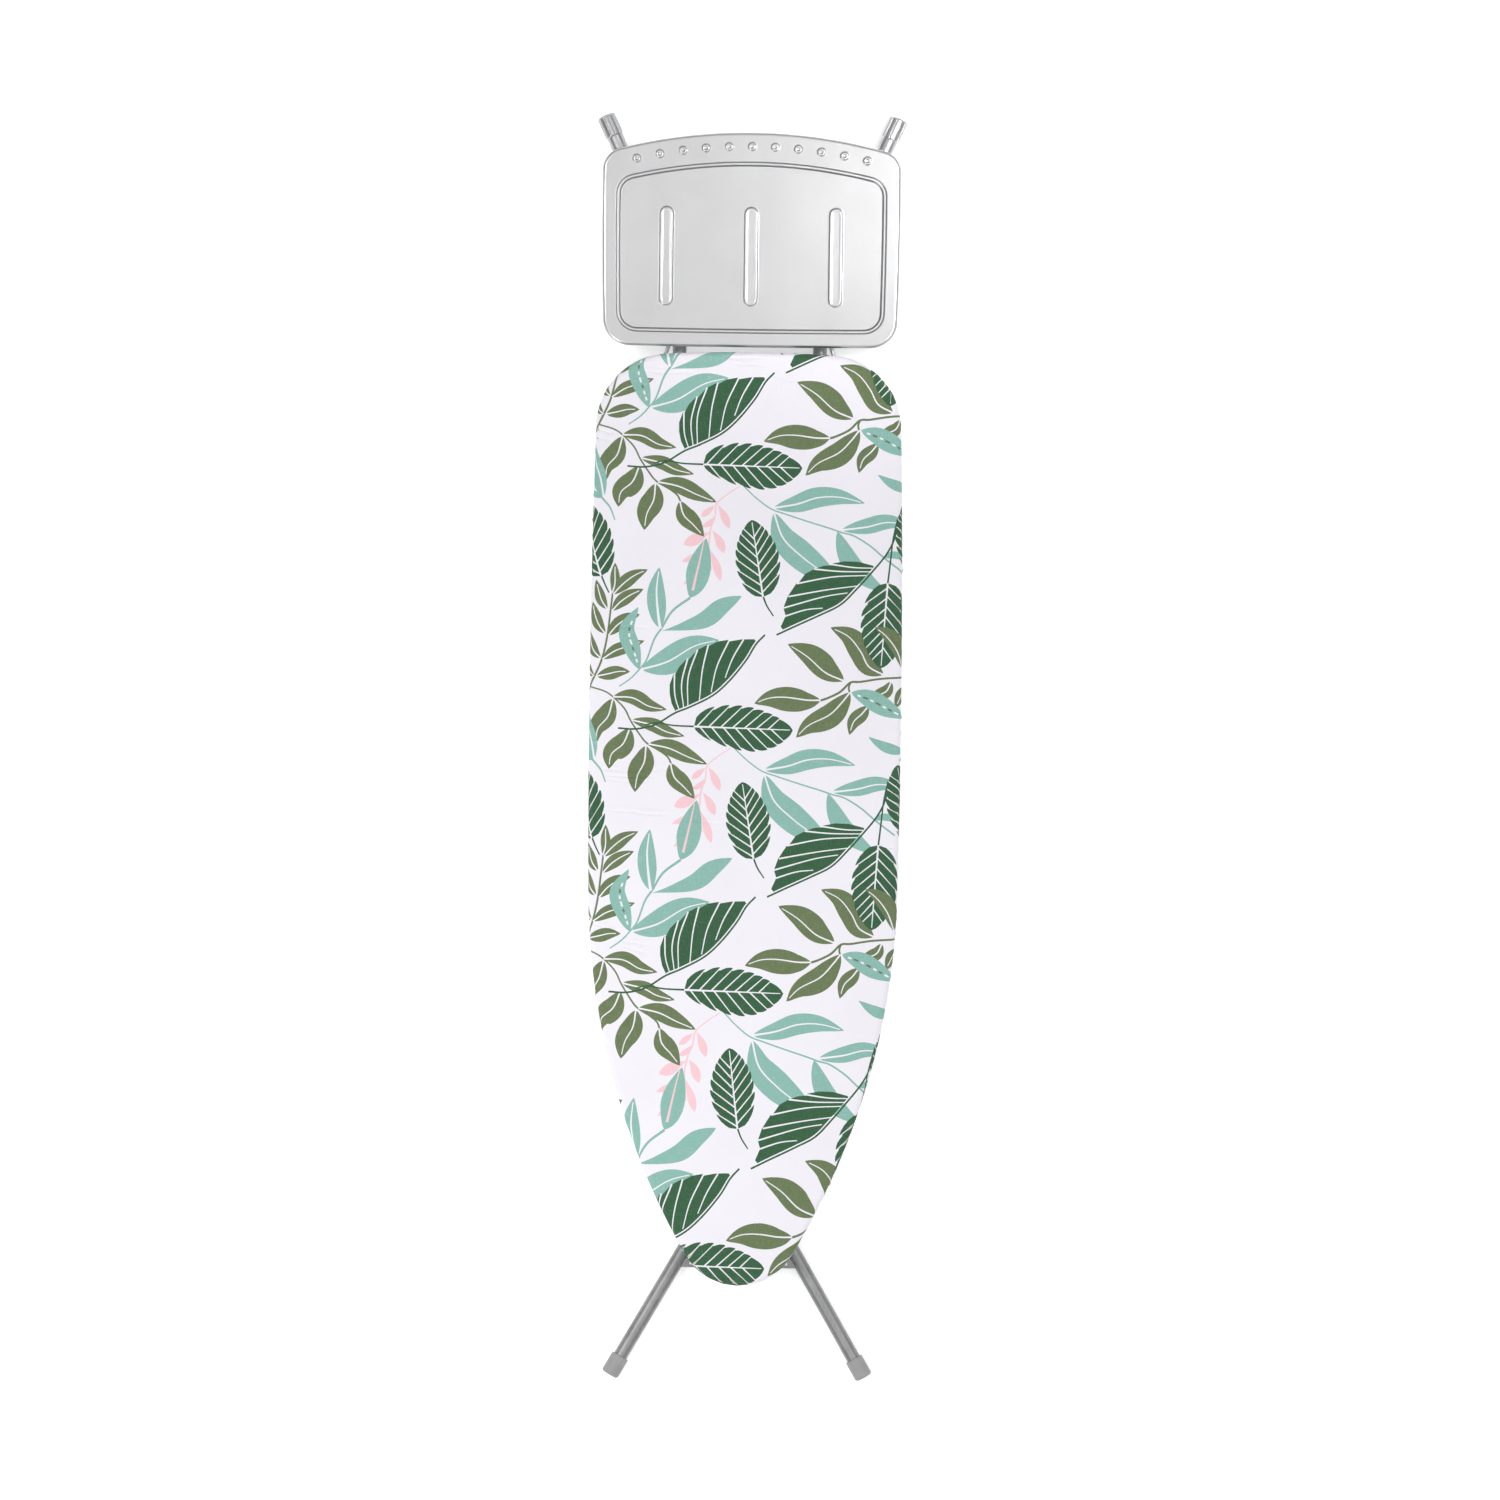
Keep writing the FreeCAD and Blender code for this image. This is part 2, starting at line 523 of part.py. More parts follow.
# ---------------------------------------------------------------- leg frames
def leg_path(spacing, foot_spacing, splay, top_y, end_y):
    """Centre line of a right-hand tube: straight, then splayed out to its foot."""
    way = 1 if end_y > top_y else -1
    run = (foot_spacing - spacing) / math.tan(math.radians(splay))
    bend = Vector(spacing, end_y - way * run, LEG_PLANE_Z)
    end = Vector(foot_spacing, end_y, LEG_PLANE_Z)
    heading = (end - bend).normalize()
    cut_end = end - heading * FOOT_INSET
    start = Vector(spacing, top_y - way * TUBE_END_OVERHANG, LEG_PLANE_Z)
    return rounded_path([start, bend, cut_end], TUBE_BEND_RADIUS), end, heading


def outer_path():
    return leg_path(OUTER_SPACING, OUTER_FOOT_SPACING, OUTER_SPLAY, HINGE_Y, OUTER_END_Y)


def inner_path():
    return leg_path(INNER_SPACING, INNER_FOOT_SPACING, INNER_SPLAY, ROD_Y, INNER_END_Y)


def outer_leg():
    tube = swept_tube(outer_path()[0], TUBE_RADIUS, TUBE_WALL)
    x0, x1 = OUTER_SPACING - 20, OUTER_SPACING + 20
    hinge_hole = x_cylinder(PIN_RADIUS + 1.2, x0, x1, HINGE_Y, LEG_PLANE_Z)
    cross_hole = x_cylinder(PIN_RADIUS + PIN_CLEARANCE, x0, x1, 0, LEG_PLANE_Z)
    return tube.cut([hinge_hole, cross_hole])


def inner_leg():
    tube = swept_tube(inner_path()[0], TUBE_RADIUS, TUBE_WALL)
    x0, x1 = INNER_SPACING - 20, INNER_SPACING + 20
    rod_hole = x_cylinder(ROD_RADIUS + PIN_CLEARANCE, x0, x1, ROD_Y, LEG_PLANE_Z)
    cross_hole = x_cylinder(PIN_RADIUS + PIN_CLEARANCE, x0, x1, 0, LEG_PLANE_Z)
    return tube.cut([rod_hole, cross_hole])


def foot(end, heading, fluted):
    """A moulded cup over the tube's end: a wide closed head and a narrower neck."""
    bore, head, neck = TUBE_RADIUS + PIN_CLEARANCE, FOOT_RADIUS, TUBE_RADIUS + 1.3
    length = FOOT_CUP_LENGTH + (FOOT_NECK_LENGTH if fluted else 0.0)
    points = [(0, 0), (head - FOOT_EDGE, 0), (head, FOOT_EDGE), (head, FOOT_CUP_LENGTH)]
    if fluted:
        points += [(neck, FOOT_CUP_LENGTH + 2.0), (neck, length)]
    points += [(bore, points[-1][1]), (bore, FOOT_INSET), (0, FOOT_INSET)]
    corners = [Vector(r, 0, h) for r, h in points]
    shape = Part.Face(Part.makePolygon(corners + corners[:1])).revolve(Vector(), Vector(0, 0, 1), 360)
    if fluted:
        step = 2 * math.pi / FOOT_FLUTES
        turns = [step * (index + 0.5) for index in range(FOOT_FLUTES)]
        grooves = [Part.makeCylinder(1.3, length, Vector(11.6 * math.cos(t), 11.6 * math.sin(t), -1))
                   for t in turns]
        shape = shape.cut(grooves)
    turn = FreeCAD.Rotation(Vector(0, 0, 1), heading * -1)
    shape.Placement = FreeCAD.Placement(end, turn)
    return shape


def straight_bar(spacing, y, radius):
    """A round bar welded between two tubes, its ends coped to them."""
    bar = x_cylinder(radius, -spacing, spacing, y, LEG_PLANE_Z)
    tubes = [Part.makeCylinder(TUBE_RADIUS + 0.02, 200, Vector(side * spacing, y - 100, LEG_PLANE_Z),
                               Vector(0, 1, 0)) for side in (-1, 1)]
    return bar.cut(tubes)


def nose_bar():
    """Flat strap with a long window, welded between the splayed inner tubes near the nose."""
    y0, y1, z0, z1 = NOSE_Y + 20.0, NOSE_Y + 31.0, LEG_PLANE_Z - 4.0, LEG_PLANE_Z + 4.0
    strap = box(-110, 110, y0, y1, z0, z1)
    window = box(-60, 60, y0 + 3.2, y1 - 3.2, z0 - 1, z1 + 1)
    path, _, _ = inner_path()
    solid = swept_rod(path, TUBE_RADIUS + 0.02)
    beyond = box(70, 200, y0 - 9, y1 + 9, z0 - 9, z1 + 9)
    pieces = strap.cut([window, solid, mirror_x(solid)]).Solids
    return max(pieces, key=lambda piece: piece.Volume).cut([beyond, mirror_x(beyond)])


def top_rod():
    return x_cylinder(ROD_RADIUS, -73.0, 73.0, ROD_Y, LEG_PLANE_Z)


def rod_glide():
    """Plastic ring on the rod between the inner tube and the rail."""
    x0, x1 = INNER_SPACING + TUBE_RADIUS + SMALL, RAIL_X - 0.3
    outer = x_cylinder(8.0, x0, x1, ROD_Y, LEG_PLANE_Z)
    return outer.cut(x_cylinder(ROD_RADIUS + PIN_CLEARANCE, x0 - 1, x1 + 1, ROD_Y, LEG_PLANE_Z))


def rod_retainer():
    """Push-on star ring that keeps the rod in the rail."""
    x0, x1 = RAIL_X + RAIL_SHEET + 0.4, RAIL_X + RAIL_SHEET + 2.4
    outer = x_cylinder(8.0, x0, x1, ROD_Y, LEG_PLANE_Z)
    return outer.cut(x_cylinder(ROD_RADIUS + PIN_CLEARANCE, x0 - 1, x1 + 1, ROD_Y, LEG_PLANE_Z))


def crossing_pin():
    x0, x1 = INNER_SPACING - TUBE_RADIUS - 1.0, OUTER_SPACING + TUBE_RADIUS + 1.0
    shaft = x_cylinder(PIN_RADIUS, x0, x1, 0, LEG_PLANE_Z)
    heads = [x_cylinder(5.5, x0 - 1.8, x0 + 0.6, 0, LEG_PLANE_Z),
             x_cylinder(5.5, x1 - 0.6, x1 + 1.8, 0, LEG_PLANE_Z)]
    return shaft.fuse(heads).removeSplitter()


def crossing_spacer():
    x0, x1 = INNER_SPACING + TUBE_RADIUS + SMALL, OUTER_SPACING - TUBE_RADIUS - 0.3
    outer = x_cylinder(6.5, x0, x1, 0, LEG_PLANE_Z)
    return outer.cut(x_cylinder(PIN_RADIUS + PIN_CLEARANCE, x0 - 1, x1 + 1, 0, LEG_PLANE_Z))


def hinge_bush():
    """Flanged plastic bush in the outer tube, round the hinge pin."""
    x0, x1 = OUTER_SPACING - TUBE_RADIUS - 0.2, OUTER_SPACING + TUBE_RADIUS + 0.2
    outer = x_cylinder(PIN_RADIUS + 1.15, x0, x1, HINGE_Y, LEG_PLANE_Z)
    return outer.cut(x_cylinder(PIN_RADIUS + PIN_CLEARANCE, x0 - 1, x1 + 1, HINGE_Y, LEG_PLANE_Z))


# ---------------------------------------------------------------- latch
def latch_carriage():
    """Two cheeks on the top rod, either side of the rack, joined by a strap behind the lever."""
    z, y = LEG_PLANE_Z, ROD_Y
    back = y - LEVER_PIN_BACK
    outline = [(back - 8, z - 5), (y + 2, z - 8.5), (y + 9, z - 4), (y + 9, z + 8),
               (y - 2, z + 26), (y - 38, z + 26), (back - 8, z + 6)]
    cheeks = [polygon_plate(outline, 5.0, 7.0), polygon_plate(outline, -7.0, -5.0)]
    strap = box(-7.0, 7.0, y - 16, y - 8, z - 7.4, z - 5.4)
    bores = [x_cylinder(ROD_RADIUS + PIN_CLEARANCE, -9, 9, y, z),
             x_cylinder(2.0 + PIN_CLEARANCE, -9, 9, y - LEVER_PIN_BACK, z)]
    bores += [x_cylinder(2.5 + PIN_CLEARANCE, -9, 9, guide_y, 32.0) for guide_y in guide_places()]
    return cheeks[0].fuse([cheeks[1], strap]).removeSplitter().cut(bores)


def guide_places():
    return (ROD_Y - 8.0, ROD_Y - 32.0)


def headed_pin(radius, reach, y, z):
    shaft = x_cylinder(radius, -reach, reach, y, z)
    heads = [x_cylinder(radius + 1.5, side * reach + min(0, side * 1.0), side * reach + max(0, side * 1.0),
                        y, z) for side in (-1, 1)]
    return shaft.fuse(heads).removeSplitter()


def guide_pins():
    return Part.makeCompound([headed_pin(2.5, 7.1, y, 32.0) for y in guide_places()])


def lever_pin():
    return headed_pin(2.0, 7.1, ROD_Y - LEVER_PIN_BACK, LEG_PLANE_Z)


def lever_spring():
    """Torsion coil on the lever pin, between the lever and one cheek."""
    wire, coil, turns = 0.3, 3.0, 3
    pitch = 0.7
    helix = Part.makeHelix(pitch, pitch * turns, coil)
    profile = Part.Wire(Part.makeCircle(wire, Vector(coil, 0, 0), Vector(0, 1, 0)))
    spring = Part.Wire(helix).makePipeShell([profile], True, True)
    spring.rotate(Vector(), Vector(0, 1, 0), 90)
    spring.translate(Vector(2.45, ROD_Y - LEVER_PIN_BACK, LEG_PLANE_Z))
    return spring


def release_lever():
    """Flat pawl plate: the tooth on the rod's side of the pin, the grip arm on the other."""
    y, z = ROD_Y - LEVER_PIN_BACK, LEG_PLANE_Z
    tip, tooth = RACK_CREST_Z - 0.3, tooth_place(ROD_Y)
    half = TOOTH_WIDTH / 2
    arm_low, arm_high = z + 1.5, z + 6.0
    outline = [(y - 5, z - 4), (y + 4, z - 4), (tooth + half, tip - TOOTH_HEIGHT - 4.0),
               (tooth + half, tip), (tooth - half + 2.0, tip), (tooth - half - 2.5, tip - TOOTH_HEIGHT),
               (y + 6, z + 4), (y - 4, arm_high), (y - LEVER_ARM, arm_high), (y - LEVER_ARM, arm_low),
               (y - 12, arm_low)]
    plate = polygon_plate(outline, -2.0, 2.0)
    return plate.cut(x_cylinder(2.0 + PIN_CLEARANCE, -5, 5, y, z))


def lever_grip():
    """Moulded paddle over the end of the lever's arm, squeezed up towards the deck."""
    y, z = ROD_Y - LEVER_PIN_BACK, LEG_PLANE_Z
    near, far, half = y - LEVER_ARM + 46.0, y - LEVER_ARM - 2.0, GRIP_WIDTH / 2
    low, high = z, z + 7.5
    body = box(-half, half, far, near - half, low, high)
    body = body.fuse(z_cylinder(half, 0, near - half, low, high)).removeSplitter()
    edges = [edge for edge in body.Edges if abs(edge.BoundBox.ZLength) < SMALL]
    return body.makeFillet(2.5, edges).cut(release_lever())


# ---------------------------------------------------------------- export
def build():
    outer_end, outer_heading = outer_path()[1:]
    inner_end, inner_heading = inner_path()[1:]
    nodes = {
        "deck_rim": deck_rim(), "deck_mesh": deck_mesh(), "felt_pad": felt_pad(),
        "cotton_cover": cotton_cover(), "hem_elastic": hem_elastic(),
        "guide_rail_right": guide_rail(), "height_rack": height_rack(),
        "hinge_bracket_right": hinge_bracket(), "hinge_pins": both_sides(hinge_pin()),
        "bracket_rivets": bracket_rivets(), "rail_rivets": rail_rivets(),
        "iron_rest_tray": iron_rest_tray(), "rest_wire_right": rest_wire(),
        "tray_clips": tray_clips(),
        "outer_leg_right": outer_leg(), "outer_leg_cross_bar": straight_bar(OUTER_SPACING, 500.0, 6.0),
        "outer_foot_right": foot(outer_end, outer_heading, True),
        "hinge_bushes": both_sides(hinge_bush()),
        "inner_leg_right": inner_leg(), "inner_leg_nose_bar": nose_bar(),
        "inner_leg_upper_bar": straight_bar(INNER_SPACING, 180.0, 6.0),
        "inner_leg_lower_bar": straight_bar(INNER_SPACING, -300.0, 6.0),
        "inner_foot_right": foot(inner_end, inner_heading, False),
        "top_rod": top_rod(), "rod_glides": both_sides(rod_glide()),
        "rod_retainers": both_sides(rod_retainer()), "crossing_pins": both_sides(crossing_pin()),
        "crossing_spacers": both_sides(crossing_spacer()),
        "latch_carriage": latch_carriage(), "guide_pins": guide_pins(), "lever_pin": lever_pin(),
        "lever_spring": lever_spring(), "release_lever": release_lever(), "lever_grip": lever_grip(),
    }
    nodes.update({"hem_casing_" + name: hem_casing(name) for name in ("nose", "rear", "right")})
    nodes.update({name: cross_brace(y) for name, y in BRACE_PLACES.items()})
    nodes.update({name: cross_wire(name) for name in CROSS_WIRE_PLACES})
    for name in [name for name in nodes if name.endswith("_right")]:
        nodes[name.replace("_right", "_left")] = mirror_x(nodes[name])
    return nodes


def main():
    os.makedirs("parts", exist_ok=True)
    for name, shape in build().items():
        if not shape.isValid() or shape.Volume <= 0:
            print("check this shape:", name)
        shape.exportStep("parts/" + name + ".step")


main()
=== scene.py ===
"""Looks of the folding ironing board: its printed cover, felt, gathered hem, iron rest and finishes.

Everything is in metres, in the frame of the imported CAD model. The artwork of the cover's print is
drawn in millimetres of cloth, in one repeat of the pattern.
"""

import json
import math

import bpy
import numpy as np
from mathutils import Color, Matrix, Vector
from mathutils.geometry import delaunay_2d_cdt

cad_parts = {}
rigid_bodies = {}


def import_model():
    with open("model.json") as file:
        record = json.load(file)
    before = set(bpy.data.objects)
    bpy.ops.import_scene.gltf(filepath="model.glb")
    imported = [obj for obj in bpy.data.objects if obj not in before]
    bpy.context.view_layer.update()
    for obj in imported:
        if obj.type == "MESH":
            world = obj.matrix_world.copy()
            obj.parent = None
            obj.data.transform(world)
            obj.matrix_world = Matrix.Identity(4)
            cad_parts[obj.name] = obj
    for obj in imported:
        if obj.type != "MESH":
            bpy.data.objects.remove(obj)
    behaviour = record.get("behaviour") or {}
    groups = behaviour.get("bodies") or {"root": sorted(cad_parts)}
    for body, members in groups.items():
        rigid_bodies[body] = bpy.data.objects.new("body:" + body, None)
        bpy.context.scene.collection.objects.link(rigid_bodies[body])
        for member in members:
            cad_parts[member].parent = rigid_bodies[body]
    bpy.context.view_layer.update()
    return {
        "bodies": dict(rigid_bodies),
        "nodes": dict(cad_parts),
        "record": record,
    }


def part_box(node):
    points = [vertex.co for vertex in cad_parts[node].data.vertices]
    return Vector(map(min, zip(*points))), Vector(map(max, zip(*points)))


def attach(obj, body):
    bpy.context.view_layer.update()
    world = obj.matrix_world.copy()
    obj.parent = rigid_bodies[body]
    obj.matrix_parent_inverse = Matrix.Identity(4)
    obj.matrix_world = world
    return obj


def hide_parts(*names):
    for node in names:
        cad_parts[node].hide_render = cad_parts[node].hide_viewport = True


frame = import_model()

MM = 0.001
QUARTER = math.pi / 2
WELD = 1e-6                    # points nearer than this are one point


# ------------ outlines made of tangent arcs
def on_circle(x, y, radius, angle):
    return x + radius * math.cos(angle), y + radius * math.sin(angle)


def circle_meeting(one, reach_one, other, reach_other, pick):
    """Where two circles cross. pick is +1 or -1 for the crossing on either side of their line."""
    gap = np.array(other[:2]) - np.array(one[:2])
    length = np.hypot(*gap)
    along = (reach_one ** 2 - reach_other ** 2 + length ** 2) / (2 * length)
    aside = math.sqrt(reach_one ** 2 - along ** 2)
    unit = gap / length
    return np.array(one[:2]) + unit * along + np.array([-unit[1], unit[0]]) * aside * pick


class Outline:
    """A convex outline, symmetric about X = 0. chain holds its right half's circles (x, y, radius)."""

    def __init__(self, chain):
        self.chain = chain
        self.turns = [-QUARTER]
        for one, other in zip(chain, chain[1:]):
            small, large = (one, other) if one[2] < other[2] else (other, one)
            self.turns.append(math.atan2(small[1] - large[1], small[0] - large[0]))
        self.turns.append(QUARTER)

    def arcs(self):
        return list(zip(self.chain, self.turns, self.turns[1:]))

    def nearest(self, points):
        """Distance outward from the outline, the outward normal, and the length along it, at points."""
        x, y = points.T
        side = np.where(x < 0, -1.0, 1.0)
        out = np.full(len(x), -1.0)
        normal = np.tile([0.0, 1.0], (len(x), 1))
        along = np.zeros(len(x))
        before = 0.0
        for (cx, cy, radius), start, end in self.arcs():
            dx, dy = np.abs(x) - cx, y - cy
            angle = np.arctan2(dy, dx)
            reach = np.hypot(dx, dy)
            here = (angle >= start - 1e-9) & (angle <= end + 1e-9) & (reach - radius > out)
            out[here] = (reach - radius)[here]
            normal[here] = np.stack([dx * side, dy], 1)[here] / reach[here, None]
            along[here] = ((before + radius * (angle - start)) * side)[here]
            before += radius * (end - start)
        return out, normal, along

    def length(self):
        return 2 * sum(radius * (end - start) for (_, _, radius), start, end in self.arcs())

    def loop(self, offset, spacing):
        """Points round the outline, moved outward by offset, about spacing apart."""
        right = []
        for (cx, cy, radius), start, end in self.arcs():
            count = max(1, math.ceil((end - start) * radius / spacing))
            for angle in np.linspace(start, end, count, endpoint=False):
                right.append(on_circle(cx, cy, radius + offset, angle))
        cx, cy, radius = self.chain[-1]
        right.append((0.0, cy + radius + offset))
        left = [(-px, py) for px, py in right[-2:0:-1]]
        return np.array(right + left)


cover_low, cover_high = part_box("cotton_cover")
NOSE_Y, REAR_Y, HALF_WIDTH = cover_low.y, cover_high.y, cover_high.x
SIDE_BARREL_RADIUS, FLANK_RADIUS, REAR_CORNER_RADIUS, REAR_CROWN_RADIUS = 15.0, 0.9, 0.09, 1.8
FLANK_START, WIDEST_AT = 0.48, 0.70     # from the nose


def board_outline():
    """Nose, flank, side, rear corner and rear edge."""
    side = (HALF_WIDTH - SIDE_BARREL_RADIUS, NOSE_Y + WIDEST_AT, SIDE_BARREL_RADIUS)
    turn = math.asin((WIDEST_AT - FLANK_START) / SIDE_BARREL_RADIUS)
    reach = SIDE_BARREL_RADIUS - FLANK_RADIUS
    flank = (side[0] + reach * math.cos(turn), side[1] - reach * math.sin(turn), FLANK_RADIUS)
    rise = flank[1] - NOSE_Y
    nose_radius = (FLANK_RADIUS ** 2 - flank[0] ** 2 - rise ** 2) / (2 * (FLANK_RADIUS - rise))
    nose = (0.0, NOSE_Y + nose_radius, nose_radius)
    rear = (0.0, REAR_Y - REAR_CROWN_RADIUS, REAR_CROWN_RADIUS)
    corner = circle_meeting(side, SIDE_BARREL_RADIUS - REAR_CORNER_RADIUS,
                            rear, REAR_CROWN_RADIUS - REAR_CORNER_RADIUS, 1)
    return Outline([nose, flank, side, (corner[0], corner[1], REAR_CORNER_RADIUS), rear])


tray_low, tray_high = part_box("iron_rest_tray")


def tray_outline(inset=0.0, top_inset=0.0):
    """Nearly straight front and sides, and a crowned far edge."""
    half = tray_high.x - inset
    low, high = tray_low.y + inset, tray_high.y - top_inset
    side_radius, front_radius, crown_radius = 5.0, 12.0, 0.64
    near_corner, far_corner = 0.033 - inset / 2, 0.027 - inset / 4
    side = (half - side_radius, low + 0.7 * (high - low), side_radius)
    front = (0.0, low + front_radius, front_radius)
    crown = (0.0, high - crown_radius, crown_radius)
    near = circle_meeting(side, side_radius - near_corner, front, front_radius - near_corner, -1)
    far = circle_meeting(side, side_radius - far_corner, crown, crown_radius - far_corner, 1)
    return Outline([front, (near[0], near[1], near_corner), side, (far[0], far[1], far_corner), crown])


# ------------ meshes from flat sheets
def winding(points, outline):
    """How many times a closed outline turns round each point."""
    turns = np.zeros(len(points), int)
    x, y = points.T
    for (x0, y0), (x1, y1) in zip(outline, np.roll(outline, -1, axis=0)):
        beside = (x1 - x0) * (y - y0) - (x - x0) * (y1 - y0)
        turns += ((y0 <= y) & (y1 > y) & (beside > 0)).astype(int)
        turns -= ((y0 > y) & (y1 <= y) & (beside < 0)).astype(int)
    return turns


def signed_areas(flat, cells):
    """Areas of triangles in the plane, positive where the corners go anticlockwise."""
    a, b, c = flat[cells.T]
    return 0.5 * ((b - a)[:, 0] * (c - a)[:, 1] - (b - a)[:, 1] * (c - a)[:, 0])


def triangulate(points, outer, areas=()):
    """Cuts the sheet inside outer into triangles along areas' edges, with points as extra corners.

    Returns corners, triangles, and for each triangle the number of the last area that covers it,
    counted from 1, or 0.
    """
    corners, edges = [], []
    for loop in (outer, *areas):
        first, count = len(corners), len(loop)
        edges += [(first + index, first + (index + 1) % count) for index in range(count)]
        corners += [Vector(p) for p in loop]
    corners += [Vector(p) for p in points]
    made, _, cells, _, _, _ = delaunay_2d_cdt(corners, edges, [], 0, WELD, False)
    flat, cells = np.array(made), np.array(cells)
    middle = flat[cells].mean(1)
    inside = winding(middle, outer) != 0
    cells, middle = cells[inside], middle[inside]
    top = np.zeros(len(cells), int)
    order = np.argsort(middle[:, 0])
    sorted_x = middle[order, 0]
    for number, area in enumerate(areas, 1):
        (x0, y0), (x1, y1) = area.min(0), area.max(0)
        near = order[np.searchsorted(sorted_x, x0):np.searchsorted(sorted_x, x1)]
        near = near[(middle[near, 1] >= y0) & (middle[near, 1] <= y1)]
        top[near[winding(middle[near], area) != 0]] = number
    used, place = np.unique(cells, return_inverse=True)
    flat, cells = flat[used], place.reshape(cells.shape)
    turned = signed_areas(flat, cells) < 0
    cells[turned] = cells[turned][:, ::-1]
    return flat, cells, top


def hex_grid(low, high, pitch):
    """A staggered grid of points over a box."""
    rows = np.arange(low[1], high[1], pitch * math.sqrt(3) / 2)
    return np.array([(x, y) for index, y in enumerate(rows)
                     for x in np.arange(low[0] + index % 2 * pitch / 2, high[0], pitch)])


def edge_section(out, steps, shoulder):
    """Walks a sheet's section outward from shoulder: flat, then runs and right-hand turns.

    out is the flat distance outward. Returns the place outward, the drop, and the angle turned.
    """
    walked = out + shoulder
    place = np.minimum(out, -shoulder)
    drop = np.zeros(len(out))
    angle = np.zeros(len(out))
    begun, heading = 0.0, 0.0
    for kind, size, sweep in steps:
        length = size * sweep if kind == "turn" else size
        step = np.clip(walked - begun, 0.0, length)
        if kind == "turn":
            turned = heading + step / size
            place += size * (np.sin(turned) - math.sin(heading))
            drop += size * (math.cos(heading) - np.cos(turned))
            angle += step / size
            heading += sweep
        else:
            place += step * math.cos(heading)
            drop += step * math.sin(heading)
        begun += length
    return place, drop, angle


def section_reach(steps, shoulder):
    """How far outward of the outline the flat sheet has to reach for these steps."""
    return sum(size * sweep if kind == "turn" else size for kind, size, sweep in steps) - shoulder


def surface_normals(place, flat, step=0.0004):
    """Unit normals of a mapped sheet, from the mapping itself and not from its triangles."""
    nudge_x, nudge_y = np.array([step, 0.0]), np.array([0.0, step])
    across = place(flat + nudge_x) - place(flat - nudge_x)
    along = place(flat + nudge_y) - place(flat - nudge_y)
    normal = np.cross(across, along)
    return normal / np.maximum(np.linalg.norm(normal, axis=1), 1e-12)[:, None]


def add_object(name, data):
    made = bpy.data.objects.new(name, data)
    bpy.context.scene.collection.objects.link(made)
    return made


def make_object(name, points, faces, normals=None, materials=(), material_index=None):
    """A smooth-shaded mesh object. normals are the corners' own, if they are known."""
    mesh = bpy.data.meshes.new(name)
    mesh.from_pydata([tuple(p) for p in points], [], [tuple(int(i) for i in f) for f in faces])
    for material in materials:
        mesh.materials.append(material)
    if material_index is not None:
        mesh.polygons.foreach_set("material_index", np.array(material_index, np.int32))
    mesh.polygons.foreach_set("use_smooth", np.ones(len(mesh.polygons), bool))
    mesh.update()
    if normals is not None:
        mesh.normals_split_custom_set_from_vertices([tuple(n) for n in normals])
    return add_object(name, mesh)


def wave_noise(x, y, seed, size):
    """Smooth, repeatable noise from about -1 to 1, with features of about size."""
    chooser = np.random.default_rng(seed)
    total = np.zeros(np.shape(x))
    for _ in range(9):
        direction, phase = chooser.uniform(0, 2 * math.pi, 2)
        rate = 2 * math.pi / (size * chooser.uniform(0.7, 1.8))
        total += np.sin((x * math.cos(direction) + y * math.sin(direction)) * rate + phase)
    return total / 4.0


def smooth_step(value):
    t = np.clip(value, 0.0, 1.0)
    return t * t * t * (t * (t * 6 - 15) + 10)


# ------------ finishes
def linear(*channels):
    """A colour as the shader wants it, from its red, green and blue on a screen, 0 to 255."""
    return (*Color([value / 255 for value in channels]).from_srgb_to_scene_linear(), 1.0)


class Nodes:
    """Adds shader nodes to a tree. A socket is given by its name or its number."""

    def __init__(self, tree):
        self.tree = tree

    def set(self, node, socket, value):
        """Links the socket to value, or gives it that value."""
        if isinstance(value, bpy.types.NodeSocket):
            self.tree.links.new(value, node.inputs[socket])
        else:
            node.inputs[socket].default_value = value

    def add(self, kind, inputs):
        node = self.tree.nodes.new("ShaderNode" + kind)
        for socket, value in inputs.items():
            self.set(node, socket, value)
        return node

    def ramp(self, value, low, high, start=0.0, end=1.0):
        """value from low to high, turned into start to end and held there."""
        return self.add("MapRange", {"Value": value, "From Min": low, "From Max": high,
                                     "To Min": start, "To Max": end}).outputs["Result"]

    def maths(self, operation, one, other):
        node = self.add("Math", {0: one, 1: other})
        node.operation = operation
        return node.outputs["Value"]


